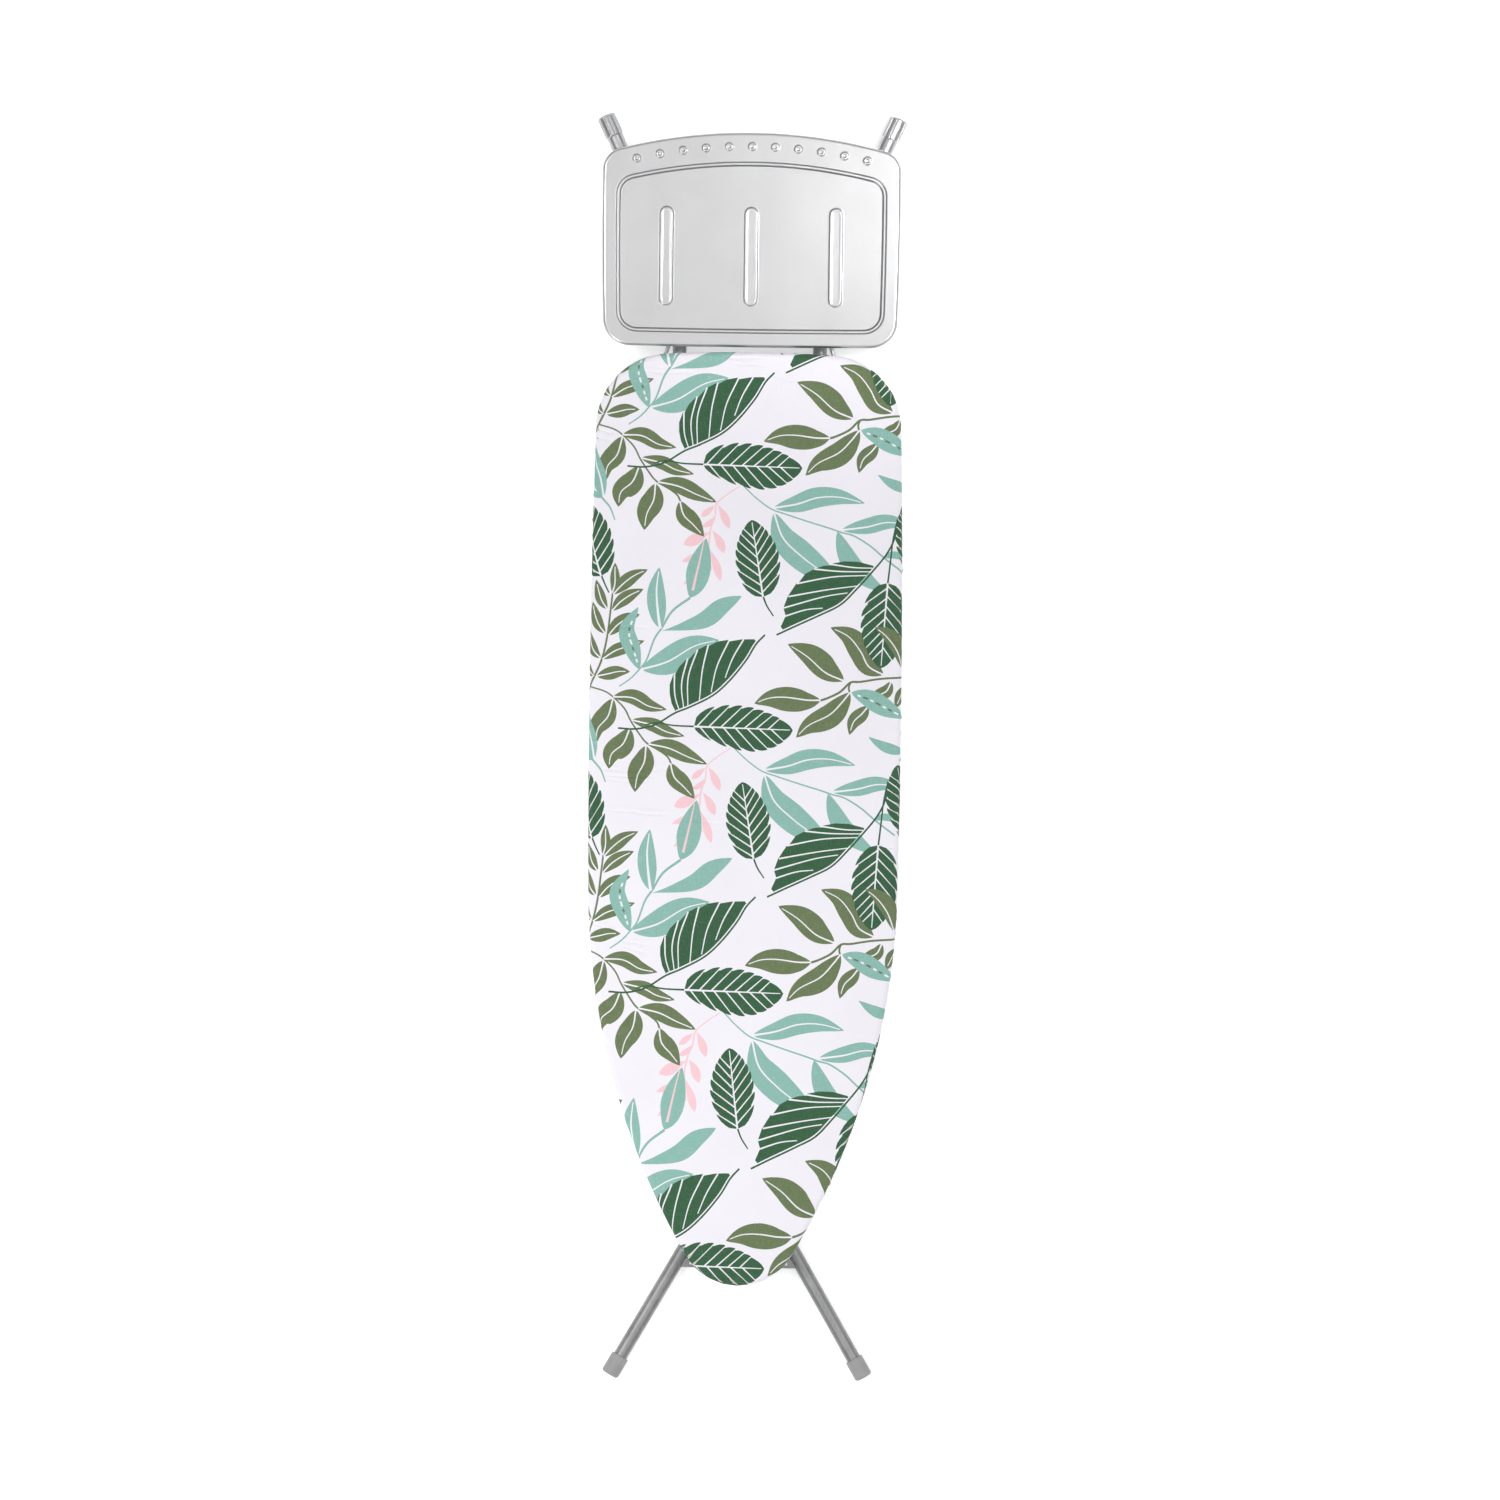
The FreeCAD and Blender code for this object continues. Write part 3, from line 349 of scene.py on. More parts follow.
class Finish(Nodes):
    """A material that is put together node by node."""

    def __init__(self, name, colour, roughness, metallic=0.0):
        self.material = bpy.data.materials.new(name)
        self.material.use_nodes = True
        super().__init__(self.material.node_tree)
        self.surface("Base Color", colour)
        self.surface("Roughness", roughness)
        self.surface("Metallic", metallic)
        self.place = self.tree.nodes.new("ShaderNodeTexCoord").outputs["Object"]

    def surface(self, socket, value):
        self.set(self.tree.nodes["Principled BSDF"], socket, value)

    def noise(self, scale, detail=2.0, roughness=0.5):
        """Noise over object space. scale is features per metre, alike on X, Y and Z or one for each."""
        mapping = self.add("Mapping", {"Vector": self.place, "Scale": np.broadcast_to(scale, 3)})
        return self.add("TexNoise", {"Vector": mapping.outputs["Vector"], "Scale": 1.0,
                                     "Detail": detail, "Roughness": roughness}).outputs["Fac"]

    def cells(self, scale):
        """A random grey for each cell of a Voronoi pattern, scale cells per metre."""
        node = self.add("TexVoronoi", {"Vector": self.place, "Scale": scale})
        return self.add("SeparateColor", {"Color": node.outputs["Color"]}).outputs["Red"]

    def mix(self, share, one, other):
        """A colour between one and other."""
        node = self.tree.nodes.new("ShaderNodeMix")
        node.data_type = "RGBA"
        first, second = (number for number, socket in enumerate(node.inputs) if socket.type == "RGBA")
        for socket, value in (("Factor", share), (first, one), (second, other)):
            self.set(node, socket, value)
        return next(socket for socket in node.outputs if socket.type == "RGBA")

    def bump(self, height, strength, distance):
        node = self.add("Bump", {"Height": height, "Strength": strength, "Distance": distance})
        self.surface("Normal", node.outputs["Normal"])


def darker(colour, share):
    return tuple(channel * share for channel in colour[:3]) + (1.0,)


def cotton(name, ink, thread):
    """Plain-woven cotton. ink is its colour, and thread the colour that shows where ink is thin."""
    finish = Finish(name, ink, 0.86)
    warp = finish.noise((1500.0, 90.0, 90.0), 3.0)
    weft = finish.noise((90.0, 1500.0, 90.0), 3.0)
    weave = finish.maths("ADD", warp, weft)
    thin = finish.ramp(weave, 0.98, 1.34)
    cloudy = finish.ramp(finish.noise(9.0, 3.0), 0.35, 0.65, 0.0, 0.25)
    colour = finish.mix(thin, ink, thread)
    finish.surface("Base Color", finish.mix(cloudy, colour, darker(ink, 1.12)))
    finish.surface("Sheen Weight", 0.07)
    finish.surface("Sheen Roughness", 0.5)
    finish.surface("Specular IOR Level", 0.25)
    finish.bump(weave, 0.35, 0.0002)
    return finish.material


def metal(name, colour, roughness, mottle, grain, spangle=0.0, texture=0.05, wear=0.08):
    """Zinc-plated steel.

    mottle is how much its grey varies, grain how many scratches a metre holds along X, Y and Z, spangle
    how dark its zinc crystals get, texture how strongly it is bumped, and wear how much its gloss varies.
    """
    finish = Finish(name, colour, roughness, 1.0)
    fine = finish.noise(900.0, 3.0)
    drawn = finish.noise(grain, 4.0, 0.6)
    blotch = finish.noise(28.0, 4.0)
    share = finish.ramp(finish.maths("ADD", blotch, drawn), 0.75, 1.25)
    tone = finish.mix(share, darker(colour, 1.0 - mottle), darker(colour, 1.0 + mottle * 0.5))
    if spangle:
        facet = finish.ramp(finish.cells(220.0), 0.0, 1.0, 1.0 - spangle, 1.0)
        tone = finish.mix(facet, darker(colour, 0.8), tone)
    finish.surface("Base Color", tone)
    finish.surface("Roughness", finish.ramp(drawn, 0.3, 0.7, roughness - wear, roughness + wear))
    finish.bump(finish.maths("ADD", fine, drawn), texture, 0.0001)
    return finish.material


def plastic(name, colour, roughness):
    """Moulded plastic with a fine spark-eroded grain."""
    finish = Finish(name, colour, roughness)
    fine = finish.noise(700.0, 2.0)
    cloud = finish.ramp(finish.noise(40.0, 3.0), 0.3, 0.7)
    finish.surface("Base Color", finish.mix(cloud, darker(colour, 0.9), darker(colour, 1.06)))
    finish.surface("Roughness", finish.ramp(fine, 0.3, 0.7, roughness - 0.05, roughness + 0.08))
    finish.bump(fine, 0.2, 0.00015)
    return finish.material


def powder_coat(name, colour):
    """Baked powder paint, with its orange-peel surface."""
    roughness = 0.42
    finish = Finish(name, colour, roughness)
    peel = finish.noise(260.0, 2.0)
    dust = finish.ramp(finish.noise(14.0, 4.0), 0.4, 0.75, 0.0, 0.5)
    finish.surface("Base Color", finish.mix(dust, colour, darker(colour, 0.88)))
    finish.surface("Roughness", finish.ramp(peel, 0.3, 0.7, roughness - 0.06, roughness + 0.08))
    finish.bump(peel, 0.25, 0.0002)
    return finish.material


def felted(name, colour):
    """Needled fibre: short matted strands with needle marks."""
    finish = Finish(name, colour, 0.95)
    strands = finish.noise((350.0, 120.0, 350.0), 6.0, 0.7)
    tufts = finish.noise(70.0, 3.0)
    share = finish.ramp(finish.maths("ADD", strands, tufts), 0.8, 1.25)
    finish.surface("Base Color", finish.mix(share, darker(colour, 0.8), darker(colour, 1.08)))
    finish.surface("Sheen Weight", 0.3)
    finish.bump(strands, 0.6, 0.0006)
    return finish.material


INKS = {"ground": (245, 242, 250), "olive": (107, 123, 86), "mint": (140, 188, 177),
        "dark": (56, 97, 67), "pink": (251, 206, 213)}
THREADS = {"ground": (249, 248, 251), "olive": (136, 149, 116), "mint": (170, 205, 197),
           "dark": (84, 121, 92), "pink": (252, 220, 225)}
LONG_GRAIN = (700.0, 30.0, 700.0)
CROSS_GRAIN = (30.0, 700.0, 700.0)
CLOUDY = (24.0, 16.0, 24.0)

finishes = {
    "hem_cotton": cotton("plain_cotton", linear(240, 239, 245), linear(248, 247, 250)),
    "elastic": cotton("woven_elastic", linear(222, 222, 224), linear(240, 240, 240)),
    "felt": felted("needled_felt", linear(214, 211, 203)),
    "deck_paint": powder_coat("silver_powder_coat", linear(196, 198, 200)),
    "tray_steel": metal("satin_zinc_sheet", linear(205, 205, 206), 0.3, 0.02, CLOUDY,
                        texture=0.004, wear=0.012),
    "zinc_wire": metal("zinc_wire", linear(188, 189, 191), 0.3, 0.12, LONG_GRAIN),
    "leg_steel": metal("satin_leg_tube", linear(160, 160, 161), 0.5, 0.3, LONG_GRAIN, 0.12),
    "zinc_sheet": metal("zinc_plate", linear(192, 193, 195), 0.38, 0.12, CROSS_GRAIN, 0.2),
    "pin_steel": metal("bright_zinc", linear(212, 213, 215), 0.28, 0.08, CROSS_GRAIN),
    "foot_plastic": plastic("grey_plastic", linear(160, 160, 161), 0.5),
    "foot_silver": metal("silvered_plastic", linear(184, 184, 186), 0.37, 0.06, LONG_GRAIN),
    "nylon": plastic("natural_nylon", linear(226, 226, 218), 0.45),
    "lever_paint": powder_coat("dark_powder_coat", linear(66, 68, 71)),
    "grip_plastic": plastic("dark_plastic", linear(52, 54, 57), 0.55),
}
cover_finishes = {name: cotton("cotton_" + name, linear(*INKS[name]), linear(*THREADS[name]))
                  for name in INKS}

for row in frame["record"]["subparts"]:
    if row["material_slot"] in finishes:
        node = frame["nodes"][row["node"]]
        node.data.materials.clear()
        node.data.materials.append(finishes[row["material_slot"]])


# ------------ artwork of the print
REPEAT = np.array([7.5, 320.0])         # one repeat along the board, in millimetres of cloth
SIDE_REPEAT = np.array([400.0, 0.0])    # and one across it
artwork = []                            # (ink, outline) of one repeat, in printing order


def smooth(points, step=2.5):
    """Points along a smooth curve through the given ones."""
    given = np.array(points, float)
    padded = np.vstack([2 * given[0] - given[1], given, 2 * given[-1] - given[-2]])
    curve = []
    for a, b, c, d in zip(padded, padded[1:], padded[2:], padded[3:]):
        count = max(2, int(np.hypot(*(c - b)) / step))
        for t in np.arange(count) / count:
            curve.append(b + 0.5 * t * (c - a + t * (2 * a - 5 * b + 4 * c - d
                                                     + t * (3 * (b - c) + d - a))))
    return np.array(curve + [given[-1]])


def left_of(line, distance):
    """The line moved to its left, by one distance or by one for each point."""
    heading = np.gradient(line, axis=0)
    heading /= np.hypot(*heading.T)[:, None]
    return line + np.stack([-heading[:, 1], heading[:, 0]], 1) * np.reshape(distance, (-1, 1))


def band(line, left, right):
    """The outline of a band round a line. left and right are its half-widths along it."""
    return np.vstack([left_of(line, left), left_of(line, -right)[::-1]])


def draw(ink, outline):
    """Adds a shape to the artwork, without points that fall together."""
    gaps = np.hypot(*(outline - np.roll(outline, 1, axis=0)).T)
    artwork.append((ink, outline[gaps > 0.05]))


def stroke(ink, points, start, end, curved=True):
    """A line that tapers from one width to the other."""
    line = smooth(points) if curved else np.array(points, float)
    half = np.linspace(start / 2, end / 2, len(line))
    draw(ink, band(line, half, half))


def leaf(ink, midrib, left, right=None, belly=0.45, vein="ground", vein_width=2.0):
    """A leaf along a midrib from base to tip, with its greatest half-widths on each side."""
    line = smooth(midrib)
    share = np.linspace(0.0, 1.0, len(line))
    form = np.sin(math.pi * share ** (math.log(0.5) / math.log(belly))) ** 0.85
    draw(ink, band(line, left * form, (left if right is None else right) * form))
    if vein:
        half = np.linspace(vein_width / 2, 0.5, len(line))[:-2]
        draw(vein, band(line[:-2], half, half))


def leaves(ink, rows, **look):
    """Leaves that are alike. Each row is a midrib and its half-widths."""
    for midrib, *half_widths in rows:
        leaf(ink, midrib, *half_widths, **look)


def broken_vein(midrib, colours):
    """A vein in dashes of several colours in turn."""
    line = smooth(midrib, 1.5)
    count, width = 7, 2.2
    for index in range(count):
        start = int(len(line) * (0.08 + 0.86 * index / count))
        end = int(len(line) * (0.08 + 0.86 * (index + 0.62) / count))
        if end - start >= 2:
            piece = line[start:end + 1]
            half = np.full(len(piece), width / 2)
            draw(colours[index % len(colours)], band(piece, half, half))


def toothed_leaf(base, tip, half_width, stem, fullness=(0.9, 0.9)):
    """A dark leaf with a stepped edge, a white midrib and white side veins that slant to its tip.

    fullness below 1 moves a side's widest place towards the base, and above 1 towards the tip.
    """
    base, tip = np.array(base, float), np.array(tip, float)
    stroke("dark", stem, 1.6, 2.2)
    along = tip - base
    length = np.hypot(*along)
    aside = np.array([-along[1], along[0]]) / length
    lobes = 7

    def width(share, side):
        form = fullness[0] if side > 0 else fullness[1]
        return half_width * max(0.0, math.sin(math.pi * min(share, 1.0) ** form)) ** (0.42 + 0.25 * share)

    def point(share, side, part):
        return base + along * share + aside * side * width(share, side) * part

    veins, edges = [], []
    for side in (1, -1):
        roots = [0.03 + 0.12 * index + (0.03 if side < 0 else 0.0) for index in range(lobes)]
        ends = [root + width(root + 0.1, side) / length * 0.95 for root in roots]
        edge = []
        for start, end in zip([0.0] + ends, ends + [1.0]):
            step = 0.2 * (1.0 - 0.6 * start)
            for phase in (-0.04, 0.12, 0.3, 0.55, 0.8, 1.0):
                part = 1.04 - step * (1.0 - math.sin(min(max(phase, 0.0) / 0.8, 1.0) * QUARTER))
                edge.append(point(max(start + (end - start) * phase, 0.0), side, part))
        edges.append(edge)
        veins += [[base + along * root, point(end, side, 0.98)] for root, end in zip(roots, ends)]
    draw("dark", np.array([base] + edges[0] + [tip] + edges[1][::-1]))
    for vein in veins:
        stroke("ground", vein, 1.7, 1.1, curved=False)
    stroke("ground", [base, base + along * 0.97], 2.3, 1.0, curved=False)


def half_feather(stem, edge, veins):
    """A blade to the left of a stem, cut by white veins, with a white line beside the stem.

    edge is the blade's outer edge. It runs the same way as the stem.
    """
    line = smooth(stem)
    edge = np.array(edge, float)
    first, last = (np.argmin(np.hypot(*(line - end).T)) for end in (edge[0], edge[-1]))
    root = left_of(line[first:last + 1], 2.6)
    draw("dark", np.vstack([edge, root[::-1]]))
    for vein in veins:
        stroke("ground", vein, 1.2, 1.9)
    half = np.full(len(line), 1.1)
    draw("dark", band(line, half, half))


def print_pink():
    stroke("pink", [(-10, 318), (-25, 308), (-38, 296), (-40, 280), (-45, 265), (-47, 240), (-44, 215)],
           1.2, 2.6)
    leaves("pink", [
        ([(-40, 294), (-46, 289), (-57, 280)], 4.0), ([(-37, 296), (-29, 282), (-22, 266)], 5.0),
        ([(-43, 264), (-35, 252), (-28, 236)], 5.5), ([(-45, 262), (-60, 254), (-78, 246)], 7.0),
        ([(-46, 242), (-38, 222), (-32, 202)], 5.0), ([(-47, 240), (-62, 232), (-80, 225)], 4.0),
        ([(-46, 222), (-62, 208), (-78, 197)], 4.0), ([(-40, 281), (-47, 272), (-56, 268)], 3.5),
    ], belly=0.62, vein=None)


def print_olive():
    stroke("olive", [(-163, 190), (-166, 163), (-169.5, 133), (-176, 104), (-187, 79), (-196, 62)], 2.2, 2.6)
    leaves("olive", [
        ([(-163, 184), (-152, 196), (-138, 207), (-121, 215)], 8.5),
        ([(-164, 164), (-154, 175), (-141, 184), (-126, 191)], 8.0),
        ([(-168, 134), (-158, 146), (-145, 155), (-130, 160)], 8.5),
        ([(-175, 105), (-160, 115), (-144, 121), (-124, 128)], 8.0),
        ([(-182, 84), (-168, 87), (-155, 90), (-141, 90)], 8.0),
        ([(-164, 186), (-161, 197), (-161, 210), (-161, 223)], 6.0),
        ([(-170, 166), (-177, 177), (-181, 190), (-184, 202)], 6.5),
        ([(-172, 136), (-180, 147), (-185, 160), (-188, 175)], 7.0),
        ([(-177, 106), (-185, 114), (-190, 125), (-193, 140)], 6.5),
        ([(-185, 84), (-192, 90), (-198, 98), (-203, 108)], 6.0),
    ], vein_width=1.8)
    stroke("olive", [(-182, 391), (-165, 386), (-154, 379), (-140, 365), (-132, 350), (-122, 335),
                     (-112, 323), (-95, 313), (-86, 306), (-82, 298)], 1.8, 2.2)
    leaves("olive", [
        ([(-154, 379), (-130, 378), (-110, 368), (-88, 364)], 11, 8),
        ([(-154, 377), (-160, 355), (-172, 340), (-174, 322)], 10, 15),
        ([(-131, 351), (-105, 345), (-88, 337), (-66, 332)], 9, 8),
        ([(-133, 341), (-141, 322), (-155, 309), (-158, 291)], 14),
        ([(-113, 320), (-115, 300), (-123, 283), (-126, 263)], 13, 15),
        ([(-110, 322), (-85, 317), (-62, 307), (-38, 298)], 12, 9),
        ([(-83, 299), (-78, 282), (-66, 270), (-53, 256)], 13, 10),
    ])
    stroke("olive", [(200, 88), (192, 87), (165, 85), (140, 81), (128, 80), (115, 68), (96, 59), (84, 57)],
           2.4, 2.8)
    stroke("olive", [(128, 80), (126, 74), (127, 68)], 2.6, 2.2)
    leaves("olive", [
        ([(120, 82), (97, 92), (75, 111), (51, 126)], 10, 20),
        ([(168, 90), (150, 100), (140, 118), (125, 136), (103, 147)], 14, 17),
        ([(92, 58), (75, 58), (50, 61), (30, 60), (11, 53)], 17, 13),
        ([(135, 388), (125, 375), (110, 360), (85, 347), (70, 332)], 16, 13),
        ([(158, 372), (150, 362), (140, 352), (135, 336)], 9),
        ([(187, 394), (176, 388), (162, 386)], 5),
        ([(178, 82), (172, 70), (160, 64), (152, 57)], 8),
        ([(203, 74), (192, 66), (183, 50)], 8),
    ])


def print_mint():
    stroke("mint", [(-154, 72), (-140, 82), (-129, 94), (-121, 105), (-112, 130), (-103, 144),
                    (-90, 165), (-69, 181)], 1.6, 3.2)
    leaf("mint", [(-130, 93), (-138, 115), (-146, 142), (-132, 169)], 10, 11, vein=None)
    broken_vein([(-131, 97), (-137, 116), (-143, 138), (-137, 158)], ("ground", "ground", "olive"))
    leaf("mint", [(-105, 143), (-108, 163), (-110, 190), (-107, 218)], 12, 11, vein_width=3.6)
    leaf("mint", [(-69, 181), (-60, 200), (-54, 228), (-50, 254)], 17, 12, vein=None)
    stroke("pink", [(-66, 190), (-58, 226), (-53, 250)], 3.2, 1.2)
    leaf("mint", [(-104, 140), (-75, 147), (-50, 156), (-30, 172), (-6, 184)], 10, 12, belly=0.62, vein=None)
    leaf("mint", [(-127, 93), (-95, 103), (-63, 122), (-33, 130)], 17, 17, vein_width=2.4)
    stroke("mint", [(-5, 318), (10, 304), (28, 291), (45, 285), (70, 277), (100, 268), (115, 263), (130, 259),
                    (150, 247), (168, 232), (192, 214)], 1.6, 2.2)
    leaf("mint", [(32, 292), (60, 297), (85, 305), (112, 306), (143, 299)], 13, 12, vein_width=2.4)
    leaf("mint", [(32, 286), (44, 255), (68, 232), (92, 214), (118, 190)], 18, 17, vein_width=2.2)
    leaf("mint", [(110, 264), (122, 240), (134, 222), (150, 206), (172, 190)], 8, 15, vein=None)
    leaf("mint", [(115, 266), (145, 270), (172, 276), (206, 272)], 11, 9, vein_width=2.4)
    leaf("mint", [(206, 315), (186, 318), (172, 324), (158, 334)], 5, 8, vein=None)
    leaf("mint", [(166, 233), (180, 236), (198, 230)], 5, 4, vein=None)
    leaf("mint", [(137, 388), (158, 382), (180, 370), (205, 357)], 11, 13, vein=None)
    broken_vein([(140, 386), (160, 379), (182, 368), (200, 359)], ("ground", "olive", "ground", "olive"))
    leaf("mint", [(-176, 303), (-180, 325), (-187, 347), (-190, 370)], 14, 8, vein_width=2.4)
    stroke("mint", [(-180, 306), (-178, 302), (-168, 290), (-162, 275)], 2.8, 1.6)
    leaf("mint", [(-178, 302), (-190, 307), (-204, 306)], 4, 4, vein=None)


LOW_FEATHER = {
    "stem": [(-155, 21), (-137, 20), (-122, 22), (-107, 27), (-86, 40), (-67, 48), (-40, 62),
             (-20, 80), (0, 105), (12, 125), (23, 137)],
    "edge": [(-85, 42), (-90, 52), (-92.5, 64), (-92.5, 75), (-88, 88), (-86.5, 86.5), (-81, 97),
             (-71, 107.5), (-70, 105.5), (-60, 117), (-47, 124), (-46, 122), (-35, 128), (-21, 130.5),
             (-20, 128.5), (-6, 131), (10, 131.5)],
    "veins": [[(-80, 42), (-86, 62), (-87, 87)], [(-75, 45), (-78, 76), (-71, 107)],
              [(-70, 48), (-70, 84), (-59, 118)], [(-56, 56), (-53, 92), (-46, 124)],
              [(-42, 66), (-35, 98), (-20, 131)], [(-25, 84), (-16, 108), (-3, 131)]],
}
HIGH_FEATHER = {
    "stem": [(37, 137), (60, 148), (90, 162), (115, 175), (135, 195), (150, 212), (170, 237),
             (180, 258), (183, 280)],
    "edge": [(42, 147), (48, 160.5), (45, 170), (50, 184), (60, 199.5), (62.5, 200), (71, 212),
             (82, 218), (93, 222), (103, 223), (104, 225), (119, 228), (136, 227.5), (154, 223)],
    "veins": [[(93, 170.5), (72, 168), (47, 160)], [(123, 189.5), (93, 184), (45, 170)],
              [(135, 198), (96, 192.5), (51, 184)], [(146, 211), (104, 208.5), (61, 200)],
              [(150, 215.5), (114, 215.5), (82, 218)], [(153, 220), (130, 220.5), (103, 224)]],
}


def print_dark():
    half_feather(**LOW_FEATHER)
    half_feather(**HIGH_FEATHER)
    toothed_leaf((20, 183), (5, 277), 26, [(33, 160), (25, 172), (20, 184)])
    toothed_leaf((-55, 344), (66, 341), 27, [(-115, 345), (-100, 348), (-80, 345), (-52, 344)], (0.76, 1.3))
    toothed_leaf((172, 202), (165, 98), 28, [(183, 280), (178, 256), (175, 228), (172, 201)])
    toothed_leaf((-178, 206), (-206, 300), 26, [(-168, 186), (-173, 196), (-178, 208)])
    leaf("olive", [(193, 97), (184, 120), (171, 137), (157, 148)], 6, 15, vein_width=1.8)


print_pink()
print_olive()
print_mint()
print_dark()


def stretched(points):
    """The cloth is pulled a little aside and towards the nose, where the elastic is tightest."""
    x, y = points.T
    aside = 8.0 * smooth_step((-280.0 - y) / 160.0) + 3.5 * smooth_step((-500.0 - y) / 100.0)
    pulled_from, pull = -265.0, 0.05
    return np.stack([x - aside, y - pull * np.maximum(0.0, pulled_from - y)], 1)


# ------------ printed cover
board = board_outline()
SHOULDER = 7.0 * MM
SKIRT_ROLL = 2.5 * MM
COVER_TOP, COVER_LOW = cover_high.z, cover_low.z
HEM_CASINGS = ["hem_casing_nose", "hem_casing_rear", "hem_casing_left", "hem_casing_right"]
hem_low, hem_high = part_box("hem_casing_nose")
HEM_OUTER = hem_low.y - NOSE_Y          # inset of the hem's outer edge
SKIRT = COVER_TOP - COVER_LOW - SHOULDER - SKIRT_ROLL
TUCK = HEM_OUTER + 2.0 * MM - SKIRT_ROLL
COVER_STEPS = [("turn", SHOULDER, QUARTER), ("run", SKIRT, 0.0), ("turn", SKIRT_ROLL, QUARTER),
               ("run", TUCK, 0.0)]
COVER_REACH = section_reach(COVER_STEPS, SHOULDER)

CREASES = [                             # start, end and depth, in millimetres
    ((-168, -79), (-80, -84), 1.5), ((-176, -30), (-84, -29), 1.1), ((-170, -37), (-96, -38), 1.0),
    ((-168, -43), (-104, -44), 1.0), ((-72, -91), (-20, -93), 1.0), ((-186, -218), (-138, -227), 1.4),
    ((-154, -238), (-104, -243), 1.4), ((-148, -245), (-108, -254), 1.3), ((-130, 457), (-46, 455), 1.4),
    ((-26, 475), (26, 474), 1.3), ((-18, 468), (22, 465), 1.2), ((27, 454), (66, 444), 1.4),
    ((-188, 385), (-160, 381), 1.3), ((-188, 375), (-162, 372), 1.1), ((-170, 146), (-112, 143), 0.9),
    ((-164, -262), (-100, -259), 1.0), ((-150, -336), (-84, -343), 1.0), ((186, -122), (146, -116), 1.0),
]
CREASE_WIDTH = 1.5 * MM


def crease_sides():
    """Each crease as its start, its run and its depth, in metres."""
    for start, end, deep in CREASES:
        start, end = np.array(start) * MM, np.array(end) * MM
        yield start, end - start, deep * MM


def crease_points():
    """Points in rows along the creases, so that the mesh can follow them."""
    for start, run, _ in crease_sides():
        aside = np.array([-run[1], run[0]]) / np.hypot(*run)
        for share in np.linspace(0.0, 1.0, int(np.hypot(*run) / (2.4 * MM))):
            for step in (-1.8, -1.0, -0.4, 0.2, 0.8, 1.5, 2.4):
                yield start + run * share + aside * (step * CREASE_WIDTH)


def crease_depth(x, y):
    """Pressed-in fold lines left from the cover's packing."""
    depth = np.zeros(len(x))
    for start, run, deep in crease_sides():
        share = ((x - start[0]) * run[0] + (y - start[1]) * run[1]) / (run @ run)
        near = ((y - start[1]) * run[0] - (x - start[0]) * run[1]) / np.hypot(*run) / CREASE_WIDTH
        near = near + 0.5 * np.sin(share * 7 + start[1] * 40)
        fade = smooth_step((1.0 - share) * 2.2) * smooth_step((share + 0.05) * 5)
        depth += deep * fade * (np.exp(-near ** 2) - 0.45 * np.exp(-((near - 1.9) ** 2)))
    return depth


def gathers(along, out):
    """Small folds that the elastic pulls into the skirt, deeper towards the hem."""
    turns = along / board.length() * 2 * math.pi
    slow = 0.6 + 0.4 * np.sin(turns * 9 + 0.8) * np.sin(turns * 23 + 2.0)
    wave = (np.cos(turns * 118 + 2.2 * np.sin(turns * 17)) + 0.6 * np.cos(turns * 163 + 1.0)
            + 0.35 * np.cos(turns * 251 + 3.0 * np.sin(turns * 11)))
    depth = 0.15 * smooth_step((out + 0.022) / 0.022) + 0.75 * smooth_step(out / 0.03)
    return MM * depth * slow * wave


def cover_place(flat):
    x, y = flat.T
    out, normal, along = board.nearest(flat)
    place, drop, angle = edge_section(out, COVER_STEPS, SHOULDER)
    foot = flat - normal * out[:, None]
    point = np.column_stack([foot + normal * place[:, None], COVER_TOP - drop])
    facing = np.column_stack([normal * np.sin(angle)[:, None], np.cos(angle)])
    inside = smooth_step(-out / 0.04)
    quiet = 0.16 * MM * wave_noise(x, y, 3, 0.05) + 0.35 * MM * wave_noise(x, y, 5, 0.17)
    crown = inside * (quiet + 1.1 * MM)
    lift = gathers(along, out) + crown - crease_depth(x, y) * smooth_step(-out / 0.012 + 1.2)
    return point + facing * lift[:, None]


def cover_print():
    """Every printed shape that falls on the cloth, in printing order, in metres."""
    shapes = []
    for ink, outline in artwork:
        for across in (-1, 0, 1):
            for up in (1, 0, -1, -2, -3):
                points = stretched(outline + REPEAT * up + SIDE_REPEAT * across) * MM
                if board.nearest(points)[0].min() < COVER_REACH:
                    shapes.append((ink, points))
    return shapes


def printed_cover():
    shapes = cover_print()
    half_side, room = 0.26, 0.06
    grid = hex_grid((-half_side, NOSE_Y - room), (half_side, REAR_Y + room), 5.2 * MM)
    out = board.nearest(grid)[0]
    spacing, gap = 3.4 * MM, 1.5 * MM
    points = [grid[out < -SHOULDER - gap], list(crease_points())]
    for ring in np.arange(-SHOULDER, COVER_REACH - gap, 2.2 * MM):
        points.append(board.loop(ring, spacing))
    flat, cells, top = triangulate(np.vstack(points), board.loop(COVER_REACH, spacing),
                                   [shape for _, shape in shapes])
    names = list(INKS)
    ink_of = np.array([names.index("ground")] + [names.index(ink) for ink, _ in shapes])
    made = make_object("printed_cover", cover_place(flat), cells, surface_normals(cover_place, flat),
                       [cover_finishes[name] for name in names], ink_of[top])
    size = flat.max(0) - flat.min(0)
    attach(made, "deck")
    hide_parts("cotton_cover")
    return made, tuple(size.tolist()), float(signed_areas(flat, cells).sum())


# ------------ hem, stitches and felt
def flattened(value):
    """Turns a sine or cosine into that of a slightly squared circle."""
    return math.copysign(abs(value) ** 0.8, value)


